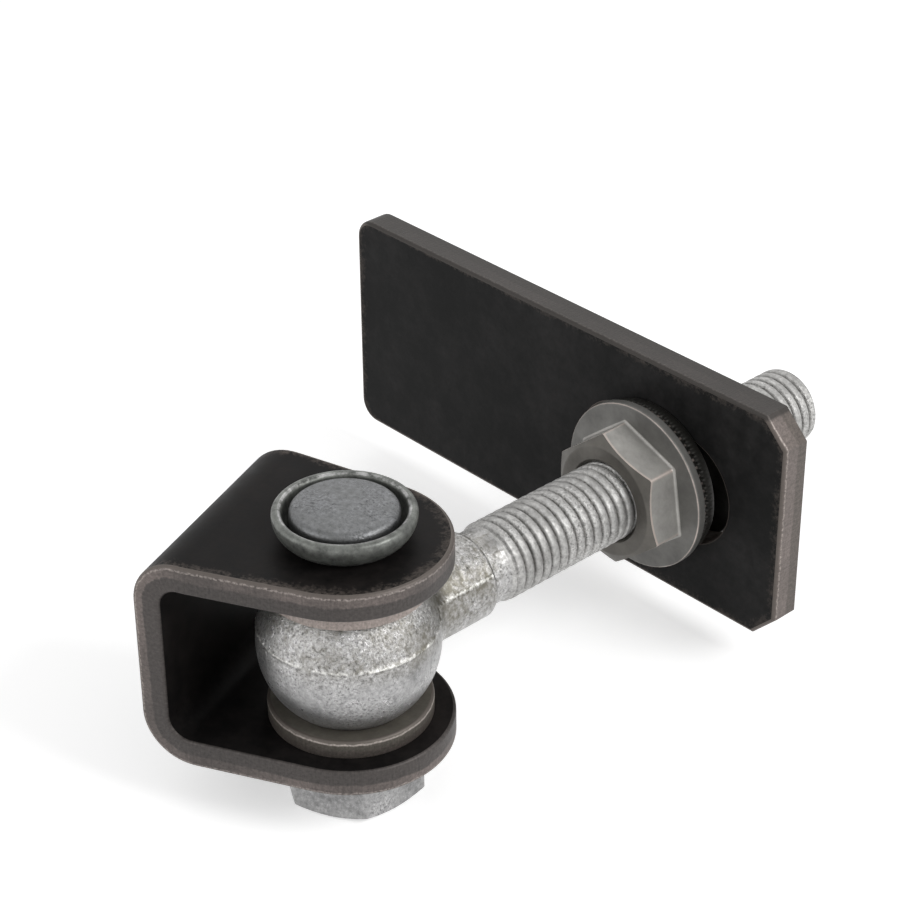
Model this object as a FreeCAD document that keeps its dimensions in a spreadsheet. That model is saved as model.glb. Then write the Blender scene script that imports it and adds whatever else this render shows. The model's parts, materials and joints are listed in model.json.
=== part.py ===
"""Adjustable gate hinge: a forged eye bolt swinging in a folded bracket, with a slotted weld plate
clamped on the bolt between two flange nuts.

Frame: the origin is the centre of the bracket's weld face, +X runs from that face to the ear tips,
and +Z is up along the pivot.  Everything that swings is drawn in a frame of its own, with the
ball's centre as origin and the bolt along +X, and is then placed at the rest swing angle.
Lengths are in millimetres and angles in degrees.
"""
import FreeCAD
import Part
import Sketcher
import math
import os
import re

# Driving sizes: alias, value, meaning
SIZES = (
    ("strip_width", 47.8, "width of the bracket's steel strip at the web and the bends"),
    ("ear_dia", 42.8, "round ends of the bracket's tapered ears"),
    ("taper_round", 20.0, "radius of the soft corner where an ear's taper starts"),
    ("strip_thick", 6.0, "thickness of the bracket's steel strip"),
    ("bend_radius", 4.5, "inside radius of the bracket's two bends"),
    ("shear_round", 0.8, "rounding of sheared edges on the strip and the plate"),
    ("pivot_offset", 34.9, "weld face to pivot axis"),
    ("pivot_dia", 18.0, "pivot bolt shank"),
    ("ear_clearance", 0.2, "radial clearance of the pivot in the ears and the cup"),
    ("head_width", 27.0, "pivot bolt head, across flats"),
    ("head_high", 12.4, "pivot bolt head, height"),
    ("head_angle", 7.0, "pivot bolt head, turn of one corner from the ears' direction"),
    ("bevel_angle", 30.0, "slope of the bevel on the hexagons"),
    ("button_overhang", 2.0, "riveted end of the pivot bolt, reach beyond the shank"),
    ("button_high", 4.8, "riveted end, height at its rim above the cup's floor"),
    ("button_round", 1.6, "rounding of the riveted end's edges"),
    ("button_crown", 0.7, "rise of the riveted end's middle over its rim"),
    ("cup_foot", 1.5, "cup washer, width of the ring that sits on the ear"),
    ("cup_flare", 3.7, "cup washer, reach of the rim beyond the foot"),
    ("cup_wall", 2.1, "cup washer, wall"),
    ("cup_high", 6.4, "cup washer, height"),
    ("washer_dia", 34.0, "flat washers, outside diameter"),
    ("washer_clearance", 0.5, "flat washers, radial clearance on the pivot"),
    ("washer_thick", 4.0, "flat washers, thickness"),
    ("washer_round", 0.7, "flat washers, rounding of the punched edge"),
    ("washer_play", 0.9, "gap between the upper washer and the upper ear"),
    ("eye_play", 0.1, "gap between the eye and the lower washer"),
    ("eye_clearance", 0.05, "radial running clearance of the eye on the pivot"),
    ("eye_height", 27.0, "eye, distance between its two flats"),
    ("ball_dia", 37.5, "eye, ball diameter"),
    ("neck_dia", 19.4, "forged neck, diameter"),
    ("neck_blend", 7.0, "hollow between ball and neck, radius"),
    ("neck_end", 32.5, "ball centre to the neck's shoulder"),
    ("shoulder_round", 1.0, "rounding of the neck's shoulder"),
    ("flash_high", 0.4, "forging flash, height over the surface"),
    ("flash_thick", 0.9, "forging flash, thickness"),
    ("flash_level", 4.2, "forging flash, its middle above the bolt's axis"),
    ("shank_dia", 16.6, "plain shank before the thread"),
    ("thread_dia", 18.0, "thread, major diameter"),
    ("thread_start", 37.5, "ball centre to the start of the thread"),
    ("thread_runout", 1.4, "length of the thread's run-out"),
    ("bolt_reach", 134.5, "ball centre to the bolt's end"),
    ("end_bevel", 1.5, "bevel of the bolt's end"),
    ("seat_reach", 84.3, "ball centre to the front nut's bearing face"),
    ("nut_clearance", 0.05, "radial running clearance of the nuts on the thread"),
    ("nut_width", 27.0, "flange nuts, across flats"),
    ("nut_angle", 20.8, "flange nuts, turn of one corner from the plate's far end"),
    ("nut_high", 11.2, "flange nuts, height"),
    ("mouth_bevel", 0.75, "flange nuts, bevel at the mouths of the bore"),
    ("flange_dia", 38.9, "flange nuts, flange diameter"),
    ("flange_rim", 2.2, "flange nuts, thickness at the flange's rim"),
    ("flange_root", 2.6, "flange nuts, thickness at the foot of the hexagon"),
    ("lock_dia", 36.8, "serrated washers, outside diameter"),
    ("lock_clearance", 0.4, "serrated washers, radial clearance on the bolt"),
    ("lock_thick", 4.2, "serrated washers, thickness"),
    ("tooth_deep", 0.7, "serrated washers, depth of a notch in the rim"),
    ("tooth_long", 2.0, "serrated washers, length of a notch along the bolt"),
    ("tooth_count", 64.0, "serrated washers, number of notches"),
    ("plate_long", 135.0, "weld plate, length"),
    ("plate_wide", 54.8, "weld plate, width"),
    ("plate_thick", 6.8, "weld plate, thickness"),
    ("plate_rise", 0.8, "weld plate, its middle line above the bolt's axis"),
    ("plate_short_end", 36.7, "weld plate, slot centre to the nearer end"),
    ("plate_bevel", 6.0, "weld plate, cut-off of the nearer end's corners"),
    ("plate_round", 5.0, "weld plate, corner radius at the far end"),
    ("slot_wide", 26.0, "slot, width"),
    ("slot_travel", 18.0, "slot, distance between the centres of its round ends"),
    ("rest_angle", 68.0, "turn from the ears' direction to the bolt at rest"),
)

# Formulas that several pieces share
INNER_GAP = "(eye_height + 2 * washer_thick + eye_play + washer_play)"
OUTER_HALF = f"({INNER_GAP} / 2 + strip_thick)"
EYE_LEVEL = f"(eye_play + washer_thick + eye_height / 2 - {INNER_GAP} / 2)"
PLATE_FRONT = "(seat_reach + lock_thick)"
PLATE_REAR = f"({PLATE_FRONT} + plate_thick)"
REAR_SEAT = f"({PLATE_REAR} + lock_thick)"
PIVOT_RADIUS = "(pivot_dia / 2)"
EAR_HOLE = "(pivot_dia / 2 + ear_clearance)"
HEX_OVERSIZE = 1.2      # cutters reach past a hexagon's corners by this factor
BEVEL_CIRCLE = 0.475    # radius of the flat left by a hexagon's bevel, over its width
NEAR = 1e-3             # points closer than this count as one

doc = FreeCAD.newDocument("gate_hinge")
sheet = doc.addObject("Spreadsheet::Sheet", "Sizes")
for row, (alias, size, meaning) in enumerate(SIZES, start=1):
    sheet.set(f"A{row}", meaning)
    sheet.set(f"B{row}", str(size))
    sheet.setAlias(f"B{row}", alias)
doc.recompute()


def bound(formula):
    """The formula with every size name pointing at its cell of the sheet."""
    return re.sub(r"\b[a-z]+(_[a-z]+)+\b", r"Sizes.\g<0>", formula)


def value(formula):
    """The formula's number for the sheet's present sizes."""
    return float(sheet.evalExpression(bound(formula)))


def new_body(label, swings=False):
    """An empty body on the pivot axis, turned to the rest swing if it swings with the eye."""
    body = doc.addObject("PartDesign::Body", label)
    body.Label = label
    body.setExpression("Placement.Base.x", bound("pivot_offset"))
    if swings:
        body.setExpression("Placement.Base.z", bound(EYE_LEVEL))
        body.Placement = FreeCAD.Placement(FreeCAD.Vector(), FreeCAD.Rotation(FreeCAD.Vector(0, 0, 1), 1.0))
        body.setExpression("Placement.Rotation.Angle", bound("rest_angle"))
    return body


def origin_feature(body, role):
    """The body's own origin plane or axis with that role."""
    return next(item for item in body.Origin.OriginFeatures if item.Role == role)


def new_sketch(body, role, offset="0"):
    """An empty sketch on an origin plane, moved along the plane's normal."""
    sketch = body.newObject("Sketcher::SketchObject", body.Label + "_sketch")
    sketch.AttachmentSupport = [(origin_feature(body, role), "")]
    sketch.MapMode = "FlatFace"
    if offset != "0":
        sketch.setExpression("AttachmentOffset.Base.z", bound(offset))
    return sketch


def fix_point(sketch, piece, end, name, place):
    """Tie one coordinate pair of a sketch point to its formulas; a plain 0 lies on the axis."""
    for kind, axis, formula in (("DistanceX", -2, place[0]), ("DistanceY", -1, place[1])):
        if formula == "0":
            sketch.addConstraint(Sketcher.Constraint("PointOnObject", piece, end, axis))
            continue
        number = sketch.addConstraint(Sketcher.Constraint(kind, -1, 1, piece, end, value(formula)))
        sketch.renameConstraint(number, f"{name}_{kind[-1].lower()}")
        sketch.setExpression(f"Constraints.{name}_{kind[-1].lower()}", bound(formula))


def outline(sketch, corners, arcs=None):
    """A closed outline through corners, each a pair of formulas.

    arcs maps a side's number to (radius formula, turn): the side is then the short arc of that
    radius, turning left (1) or right (-1) on the way from its first corner to its second.
    """
    arcs = arcs or {}
    spots = [FreeCAD.Vector(value(x), value(y), 0) for x, y in corners]
    first = sketch.GeometryCount
    count = len(corners)
    for side in range(count):
        start = spots[side]
        end = spots[(side + 1) % count]
        if side not in arcs:
            sketch.addGeometry(Part.LineSegment(start, end))
            continue
        radius_formula, turn = arcs[side]
        radius = value(radius_formula)
        chord = end - start
        across = FreeCAD.Vector(-chord.y, chord.x, 0).normalize()
        rise = math.sqrt(max(radius ** 2 - chord.Length ** 2 / 4, 0.0))
        centre = (start + end) * 0.5 + across * (turn * rise)
        middle = centre - across * (turn * radius)
        sketch.addGeometry(Part.Arc(start, middle, end))
    # an arc is stored anticlockwise, so one that turns right starts at its second corner
    begins = [2 if side in arcs and arcs[side][1] < 0 else 1 for side in range(count)]
    for side in range(count):
        after = (side + 1) % count
        join = Sketcher.Constraint("Coincident", first + side, 3 - begins[side], first + after, begins[after])
        sketch.addConstraint(join)
    for side, place in enumerate(corners):
        fix_point(sketch, first + side, begins[side], f"p{first + side}", place)
    for side, (radius_formula, _turn) in arcs.items():
        number = sketch.addConstraint(Sketcher.Constraint("Radius", first + side, value(radius_formula)))
        sketch.renameConstraint(number, f"r{first + side}")
        sketch.setExpression(f"Constraints.r{first + side}", bound(radius_formula))


def circle(sketch, radius_formula):
    """A circle round the sketch's origin."""
    centre = FreeCAD.Vector(0, 0, 0)
    piece = sketch.addGeometry(Part.Circle(centre, FreeCAD.Vector(0, 0, 1), value(radius_formula)))
    sketch.addConstraint(Sketcher.Constraint("Coincident", piece, 3, -1, 1))
    number = sketch.addConstraint(Sketcher.Constraint("Radius", piece, value(radius_formula)))
    sketch.renameConstraint(number, f"r{piece}")
    sketch.setExpression(f"Constraints.r{piece}", bound(radius_formula))


def hexagon(sketch, width, first_corner):
    """A regular hexagon round the sketch's origin, by its width across flats and one corner's angle."""
    reach = f"{width} / sqrt(3)"
    angles = [f"({first_corner} + {step})" for step in range(0, 360, 60)]
    outline(sketch, [(f"{reach} * cos({angle})", f"{reach} * sin({angle})") for angle in angles])


def extrude(body, kind, sketch, length, backwards=False):
    """A Pad along the sketch's normal, or a Pocket against it, of the given length."""
    feature = body.newObject(f"PartDesign::{kind}", f"{body.Label}_{kind.lower()}")
    feature.Profile = sketch
    feature.setExpression("Length", bound(length))
    feature.Reversed = backwards
    return feature


def turn(body, kind, sketch, axis):
    """A Revolution or Groove of a sketch right round one of the sketch's own axes."""
    feature = body.newObject(f"PartDesign::{kind}", f"{body.Label}_{kind.lower()}")
    feature.Profile = sketch
    feature.ReferenceAxis = (sketch, [axis])
    feature.Angle = 360
    return feature


def round_edges(body, wanted, radius):
    """A Fillet on every edge of the body's last feature that the test accepts."""
    doc.recompute()
    base = body.Tip
    names = [f"Edge{number}" for number, edge in enumerate(base.Shape.Edges, start=1) if wanted(edge)]
    feature = body.newObject("PartDesign::Fillet", f"{body.Label}_fillet")
    feature.Base = (base, names)
    feature.setExpression("Radius", bound(radius))
    return feature


def upright(edge):
    """Whether an edge runs straight along Z."""
    start = edge.Vertexes[0].Point
    end = edge.Vertexes[-1].Point
    return math.hypot(start.x - end.x, start.y - end.y) < NEAR


def upright_to_bolt(edge):
    """Whether an edge's two ends lie equally far along the bolt."""
    return abs(edge.Vertexes[0].Point.x - edge.Vertexes[-1].Point.x) < NEAR


def u_bracket():
    """One steel strip folded twice: a web that is welded to the post and two tapered, round-ended ears.

    The side view is drawn round the pivot axis, so the weld face lies at minus the pivot offset.  Each
    side of an ear turns in at the bend's end on a soft corner's circle, and runs on the straight line
    that touches that circle and the round end's.  Its normal, dotted with the way from the round end's
    centre to the soft corner's, is the difference of the two radii.
    """
    body = new_body("u_bracket")
    half = "(strip_width / 2)"
    ear = "(ear_dia / 2)"
    back = "(0 - pivot_offset)"
    inside = "(strip_thick - pivot_offset)"
    outer_bend = "(bend_radius + strip_thick)"
    inner_half = f"({INNER_GAP} / 2)"
    side_view = new_sketch(body, "XZ_Plane", f"0 - {half}")
    taper_start = f"({back} + {outer_bend})"
    corners = [
        (ear, OUTER_HALF),
        (taper_start, OUTER_HALF),
        (back, f"{OUTER_HALF} - {outer_bend}"),
        (back, f"{outer_bend} - {OUTER_HALF}"),
        (taper_start, f"0 - {OUTER_HALF}"),
        (ear, f"0 - {OUTER_HALF}"),
        (ear, f"0 - {inner_half}"),
        (f"{inside} + bend_radius", f"0 - {inner_half}"),
        (inside, f"bend_radius - {inner_half}"),
        (inside, f"{inner_half} - bend_radius"),
        (f"{inside} + bend_radius", inner_half),
        (ear, inner_half),
    ]
    bends = {1: (outer_bend, 1), 3: (outer_bend, 1), 7: ("bend_radius", -1), 9: ("bend_radius", -1)}
    outline(side_view, corners, bends)
    extrude(body, "Pad", side_view, "strip_width")
    plan = new_sketch(body, "XY_Plane", f"{OUTER_HALF} + strip_thick")
    soft_y = f"({half} - taper_round)"
    distance_squared = f"({taper_start} ^ 2 + {soft_y} ^ 2)"
    differ = f"({ear} - taper_round)"
    tangent = f"sqrt({distance_squared} - {differ} ^ 2)"
    normal_x = f"(({differ} * {taper_start} + {tangent} * {soft_y}) / {distance_squared})"
    normal_y = f"(({differ} * {soft_y} - {tangent} * {taper_start}) / {distance_squared})"
    turned_x = f"({taper_start} + taper_round * {normal_x})"
    turned_y = f"({soft_y} + taper_round * {normal_y})"
    touch_x = f"({ear} * {normal_x})"
    touch_y = f"({ear} * {normal_y})"
    past_tip = f"({ear} + strip_thick)"
    past_side = f"({half} + strip_thick)"
    trimmed = [
        (taper_start, f"0 - {half}"),
        (turned_x, f"0 - {turned_y}"),
        (touch_x, f"0 - {touch_y}"),
        (ear, "0"),
        (touch_x, touch_y),
        (turned_x, turned_y),
        (taper_start, half),
        (taper_start, past_side),
        (past_tip, past_side),
        (past_tip, f"0 - {past_side}"),
        (taper_start, f"0 - {past_side}"),
    ]
    outline(plan, trimmed, {0: ("taper_round", 1), 2: (ear, 1), 3: (ear, 1), 5: ("taper_round", 1)})
    circle(plan, EAR_HOLE)
    extrude(body, "Pocket", plan, f"2 * ({OUTER_HALF} + strip_thick)")
    side_place = value(half)
    tip_radius = value(ear)
    ear_from = value(taper_start)
    soft_centre = value(soft_y)
    soft_radius = value("taper_round")
    normal = FreeCAD.Vector(value(normal_x), value(normal_y), 0)

    def sheared(edge):
        """Whether an edge follows the strip's cut outline; the ears' upright seams don't."""
        middle = edge.valueAt((edge.FirstParameter + edge.LastParameter) / 2)
        across = abs(middle.y)
        if middle.x < ear_from - NEAR:
            return abs(across - side_place) < NEAR
        on_corner = abs(math.hypot(middle.x - ear_from, across - soft_centre) - soft_radius) < NEAR
        on_taper = abs(middle.x * normal.x + across * normal.y - tip_radius) < NEAR
        on_tip = middle.x > 0 and abs(math.hypot(middle.x, across) - tip_radius) < NEAR
        return (on_corner or on_taper or on_tip) and not upright(edge)

    round_edges(body, sheared, "shear_round")
    return body


def eye_bolt():
    """One forging: ball, hollow-blended neck, plain shank and bolt, with the pivot's bore through
    the ball, two flats for the washers, and a line of flash where the dies met."""
    body = new_body("eye_bolt", swings=True)
    ball = "(ball_dia / 2)"
    neck = "(neck_dia / 2)"
    blend_x = f"sqrt(({ball} + neck_blend) ^ 2 - ({neck} + neck_blend) ^ 2)"
    share = f"({ball} / ({ball} + neck_blend))"
    side = new_sketch(body, "XY_Plane")
    corners = [
        (f"0 - {ball}", "0"),
        ("0", ball),
        (f"{blend_x} * {share}", f"({neck} + neck_blend) * {share}"),
        (blend_x, neck),
        ("neck_end - shoulder_round", neck),
        ("neck_end", f"{neck} - shoulder_round"),
        ("neck_end", "shank_dia / 2"),
        ("thread_start", "shank_dia / 2"),
        ("thread_start + thread_runout", "thread_dia / 2"),
        ("bolt_reach - end_bevel", "thread_dia / 2"),
        ("bolt_reach", "thread_dia / 2 - end_bevel"),
        ("bolt_reach", "0"),
    ]
    outline(side, corners, {0: (ball, -1), 1: (ball, -1), 2: ("neck_blend", 1), 4: ("shoulder_round", -1)})
    turn(body, "Revolution", side, "H_Axis")

    flash = new_sketch(body, "XY_Plane", "flash_level - flash_thick / 2")
    level_ball = f"sqrt({ball} ^ 2 - flash_level ^ 2)"
    level_neck = f"sqrt({neck} ^ 2 - flash_level ^ 2)"
    level_blend = f"sqrt(({level_ball} + neck_blend) ^ 2 - ({level_neck} + neck_blend) ^ 2)"
    outer = f"({level_ball} + flash_high)"
    outer_neck = f"({level_neck} + flash_high)"
    outer_share = f"({outer} / ({level_ball} + neck_blend))"
    joint_x = f"{level_blend} * {outer_share}"
    joint_y = f"({level_neck} + neck_blend) * {outer_share}"
    rim = [
        (f"0 - {outer}", "0"),
        ("0", outer),
        (joint_x, joint_y),
        (level_blend, outer_neck),
        ("neck_end - shoulder_round", outer_neck),
        ("neck_end - shoulder_round", f"0 - {outer_neck}"),
        (level_blend, f"0 - {outer_neck}"),
        (joint_x, f"0 - {joint_y}"),
        ("0", f"0 - {outer}"),
    ]
    hollow = "neck_blend - flash_high"
    outline(flash, rim, {0: (outer, -1), 1: (outer, -1), 2: (hollow, 1), 6: (hollow, 1), 7: (outer, -1),
                         8: (outer, -1)})
    extrude(body, "Pad", flash, "flash_thick")

    for level, upward in (("eye_height / 2", True), ("0 - eye_height / 2", False)):
        flat = new_sketch(body, "XY_Plane", level)
        circle(flat, "ball_dia / 2 + flash_high")
        extrude(body, "Pocket", flat, "ball_dia / 2", backwards=upward)
    bore = new_sketch(body, "XY_Plane", "ball_dia")
    circle(bore, f"{PIVOT_RADIUS} + eye_clearance")
    extrude(body, "Pocket", bore, "2 * ball_dia")
    return body


def bevel_hexagon(body, plane, axis, width, end, inward):
    """Turn a shallow cone on a hexagon's end face, so that its corners run out in curves.

    end is the end face's place along the axis, and inward is the sign of the way into the metal.
    Along H the sketch's X is the axis, and along V its Y.
    """
    face = f"({BEVEL_CIRCLE} * {width})"
    rim = f"({HEX_OVERSIZE} * {width} / sqrt(3))"
    depth = f"{inward} * ({rim} - {face}) * tan(bevel_angle)"
    away = f"{inward} * ({rim} - {face})"
    triangle = [(end, face), (f"{end} + {depth}", rim), (f"{end} - {away}", rim), (f"{end} - {away}", face)]
    if axis == "V_Axis":
        triangle = [(radius, along) for along, radius in triangle]
    sketch = new_sketch(body, plane)
    outline(sketch, triangle)
    turn(body, "Groove", sketch, axis)


def pivot_bolt():
    """Hexagon-headed pivot, put in from below and riveted over inside the cup washer."""
    body = new_body("pivot_bolt")
    seat = f"(0 - {OUTER_HALF})"
    floor = f"({OUTER_HALF} + cup_wall)"
    top = f"({floor} + button_high)"
    edge = f"({PIVOT_RADIUS} + button_overhang)"
    crown = f"(({edge} - button_round) ^ 2 + button_crown ^ 2) / (2 * button_crown)"
    side = new_sketch(body, "XZ_Plane")
    corners = [
        ("0", seat),
        (PIVOT_RADIUS, seat),
        (PIVOT_RADIUS, floor),
        (f"{edge} - button_round", floor),
        (edge, f"{floor} + button_round"),
        (edge, f"{top} - button_round"),
        (f"{edge} - button_round", top),
        ("0", f"{top} + button_crown"),
    ]
    outline(side, corners, {3: ("button_round", 1), 5: ("button_round", 1), 6: (crown, 1)})
    turn(body, "Revolution", side, "V_Axis")
    bottom = f"({seat} - head_high)"
    head = new_sketch(body, "XY_Plane", bottom)
    hexagon(head, "head_width", "head_angle")
    extrude(body, "Pad", head, "head_high")
    bevel_hexagon(body, "XZ_Plane", "V_Axis", "head_width", bottom, 1)
    return body


def cup_washer():
    """Dished washer under the riveted end: a flat floor and a wall that curves up to a round rim."""
    body = new_body("cup_washer")
    base = f"({EAR_HOLE} + cup_foot)"
    rim = f"({base} + cup_flare)"
    half_wall = "(cup_wall / 2)"
    lip = f"(cup_high - {half_wall})"
    bowl = f"((cup_flare ^ 2 + {lip} ^ 2) / (2 * cup_flare))"
    inner_bowl = f"({bowl} - cup_wall)"
    floor_edge = f"{rim} - {bowl} + sqrt({inner_bowl} ^ 2 - ({lip} - cup_wall) ^ 2)"
    side = new_sketch(body, "XZ_Plane")
    corners = [
        (EAR_HOLE, OUTER_HALF),
        (base, OUTER_HALF),
        (rim, f"{OUTER_HALF} + {lip}"),
        (f"{rim} - {half_wall}", f"{OUTER_HALF} + cup_high"),
        (f"{rim} - cup_wall", f"{OUTER_HALF} + {lip}"),
        (floor_edge, f"{OUTER_HALF} + cup_wall"),
        (EAR_HOLE, f"{OUTER_HALF} + cup_wall"),
    ]
    outline(side, corners, {1: (bowl, 1), 2: (half_wall, 1), 3: (half_wall, 1), 4: (inner_bowl, -1)})
    turn(body, "Revolution", side, "V_Axis")
    return body


def flat_washer(label, level, swings):
    """Punched flat washer standing on a level, with one rolled edge on top."""
    body = new_body(label, swings)
    rim = "(washer_dia / 2)"
    hole = f"({PIVOT_RADIUS} + washer_clearance)"
    side = new_sketch(body, "XZ_Plane")
    top = f"{level} + washer_thick"
    corners = [
        (hole, level),
        (rim, level),
        (rim, f"{top} - washer_round"),
        (f"{rim} - washer_round", top),
        (hole, top),
    ]
    outline(side, corners, {2: ("washer_round", 1)})
    turn(body, "Revolution", side, "V_Axis")
    return body


def flange_nut(label, seat, outward):
    """Hexagon nut with a broad flange; outward is the sign of the way from its seat to its top."""
    body = new_body(label, swings=True)
    flange = "(flange_dia / 2)"
    top = f"({seat} + {outward} * nut_high)"
    side = new_sketch(body, "XY_Plane")
    corners = [
        (seat, "0"),
        (seat, flange),
        (f"{seat} + {outward} * flange_rim", flange),
        (f"{seat} + {outward} * flange_root", "nut_width / 2"),
        (f"{seat} + {outward} * flange_root", "0"),
    ]
    outline(side, corners)
    turn(body, "Revolution", side, "H_Axis")
    hexagon_start = f"{seat} + {outward} * flange_rim / 2"
    prism = new_sketch(body, "YZ_Plane", hexagon_start)
    hexagon(prism, "nut_width", "nut_angle")
    extrude(body, "Pad", prism, "nut_high - flange_rim / 2", backwards=outward < 0)
    bevel_hexagon(body, "XY_Plane", "H_Axis", "nut_width", top, -outward)
    bore = "(thread_dia / 2 + nut_clearance)"
    funnel = f"{outward} * mouth_bevel"
    cut = new_sketch(body, "XY_Plane")
    hole = [
        (f"{seat} - {funnel}", "0"),
        (f"{seat} - {funnel}", f"{bore} + 2 * mouth_bevel"),
        (f"{seat} + {funnel}", bore),
        (f"{top} - {funnel}", bore),
        (f"{top} + {funnel}", f"{bore} + 2 * mouth_bevel"),
        (f"{top} + {funnel}", "0"),
    ]
    outline(cut, hole)
    turn(body, "Groove", cut, "H_Axis")
    return body


def lock_washer(label, start, outward):
    """Thick washer whose rim is notched into teeth on the side that faces the nut."""
    body = new_body(label, swings=True)
    rim = "(lock_dia / 2)"
    hole = "(thread_dia / 2 + lock_clearance)"
    end = f"{start} + lock_thick"
    side = new_sketch(body, "XY_Plane")
    outline(side, [(start, hole), (end, hole), (end, rim), (start, rim)])
    turn(body, "Revolution", side, "H_Axis")
    nut_side = end if outward > 0 else start
    notch = new_sketch(body, "YZ_Plane", nut_side)
    outline(notch, [("0", f"{rim} - tooth_deep"), ("tooth_deep", f"{rim} + tooth_deep"),
                    ("0 - tooth_deep", f"{rim} + tooth_deep")])
    cut = extrude(body, "Pocket", notch, "tooth_long", backwards=outward < 0)
    doc.recompute()
    ring = body.newObject("PartDesign::PolarPattern", f"{label}_teeth")
    ring.Originals = [cut]
    ring.Axis = (origin_feature(body, "X_Axis"), [""])
    ring.Angle = 360
    ring.setExpression("Occurrences", bound("tooth_count"))
    body.Tip = ring
    return body


def weld_plate():
    """Flat plate with a slot for the bolt, cut-off corners at the near end, round ones at the far."""
    body = new_body("weld_plate", swings=True)
    near = "(0 - plate_short_end)"
    far = "(plate_long - plate_short_end)"
    half = "(plate_wide / 2)"
    face = new_sketch(body, "YZ_Plane", PLATE_FRONT)
    face.setExpression("AttachmentOffset.Base.y", bound("plate_rise"))
    corners = [
        (f"{near} + plate_bevel", f"0 - {half}"),
        (f"{far} - plate_round", f"0 - {half}"),
        (far, f"plate_round - {half}"),
        (far, f"{half} - plate_round"),
        (f"{far} - plate_round", half),
        (f"{near} + plate_bevel", half),
        (near, f"{half} - plate_bevel"),
        (near, f"plate_bevel - {half}"),
    ]
    outline(face, corners, {1: ("plate_round", 1), 3: ("plate_round", 1)})
    end = "(slot_wide / 2)"
    run = "(slot_travel / 2)"
    slot = [
        (f"0 - {run}", f"0 - {end}"),
        (run, f"0 - {end}"),
        (f"{run} + {end}", "0"),
        (run, end),
        (f"0 - {run}", end),
        (f"0 - {run} - {end}", "0"),
    ]
    outline(face, slot, {1: (end, 1), 2: (end, 1), 4: (end, 1), 5: (end, 1)})
    extrude(body, "Pad", face, "plate_thick")
    front = value(PLATE_FRONT)
    window = value(f"{run} + {end}")
    middle_line = value("plate_rise")

    def rolled(edge):
        """Whether an edge bounds the front face on the outside."""
        middle = edge.valueAt((edge.FirstParameter + edge.LastParameter) / 2)
        outside = abs(middle.y) > window + NEAR or abs(middle.z - middle_line) > value(end) + NEAR
        return upright_to_bolt(edge) and abs(middle.x - front) < NEAR and outside

    round_edges(body, rolled, "shear_round")
    return body


LOWER_EAR_TOP = f"(0 - {INNER_GAP} / 2)"
pieces = [
    u_bracket(),
    pivot_bolt(),
    cup_washer(),
    flat_washer("lower_washer", LOWER_EAR_TOP, swings=False),
    flat_washer("upper_washer", "(eye_height / 2)", swings=True),
    eye_bolt(),
    flange_nut("front_nut", "seat_reach", -1),
    lock_washer("front_lock_washer", "seat_reach", -1),
    weld_plate(),
    lock_washer("rear_lock_washer", PLATE_REAR, 1),
    flange_nut("rear_nut", REAR_SEAT, 1),
]
doc.recompute()

for item in doc.Objects:
    if "Invalid" in item.State or "Error" in item.State:
        raise RuntimeError(f"{item.Label} failed to build: {item.State}")
for piece in pieces:
    if piece.Shape.isNull() or not piece.Shape.isValid() or len(piece.Shape.Solids) != 1:
        raise RuntimeError(f"{piece.Label} is not one valid solid")

os.makedirs("parts", exist_ok=True)
for piece in pieces:
    piece.Shape.exportStep(f"parts/{piece.Label}.step")
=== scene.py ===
"""Adjustable gate hinge: surfaces, finishes and studio, built round the hinge's CAD frame.

Every piece is worked out as whole arrays of points, in metres, and replaces the CAD node of its name.
Pieces that swing are drawn with the ball's centre as origin, x along the bolt, y along the plate and
z up; the bracket and what is fixed to it are drawn round the pivot's axis.
"""
import json
import math

import bmesh
import bpy
import numpy as np
from mathutils import Matrix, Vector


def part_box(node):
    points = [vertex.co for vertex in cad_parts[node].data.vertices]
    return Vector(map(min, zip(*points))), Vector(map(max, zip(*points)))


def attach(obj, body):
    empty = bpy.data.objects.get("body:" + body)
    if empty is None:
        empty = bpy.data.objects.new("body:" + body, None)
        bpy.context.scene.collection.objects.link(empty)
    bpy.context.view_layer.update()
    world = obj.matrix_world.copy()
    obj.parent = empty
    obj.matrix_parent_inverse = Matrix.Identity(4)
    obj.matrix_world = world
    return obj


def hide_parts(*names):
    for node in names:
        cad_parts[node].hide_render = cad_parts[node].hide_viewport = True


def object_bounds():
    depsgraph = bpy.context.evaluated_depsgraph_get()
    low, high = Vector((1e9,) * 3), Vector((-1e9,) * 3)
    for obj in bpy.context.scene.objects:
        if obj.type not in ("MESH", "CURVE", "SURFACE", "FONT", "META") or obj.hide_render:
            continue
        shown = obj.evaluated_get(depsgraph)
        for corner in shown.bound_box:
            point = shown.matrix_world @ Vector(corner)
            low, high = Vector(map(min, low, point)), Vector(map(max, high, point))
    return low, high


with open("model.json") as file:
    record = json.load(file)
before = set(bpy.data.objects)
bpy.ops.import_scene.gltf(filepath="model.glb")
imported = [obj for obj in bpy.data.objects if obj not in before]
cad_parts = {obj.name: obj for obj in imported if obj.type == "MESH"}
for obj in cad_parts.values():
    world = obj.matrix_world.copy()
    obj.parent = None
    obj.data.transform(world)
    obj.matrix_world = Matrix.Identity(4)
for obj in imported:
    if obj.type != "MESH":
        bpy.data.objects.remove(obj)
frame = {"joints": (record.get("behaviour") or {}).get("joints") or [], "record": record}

bl_info = {
    "name": "Adjustable gate hinge",
    "version": (1, 0, 0),
    "blender": (4, 5, 0),
    "location": "3D View > Sidebar > Gate hinge",
    "description": "Builds a weld-on gate hinge with its finishes and a studio round it",
    "category": "Add Mesh",
}

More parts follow.
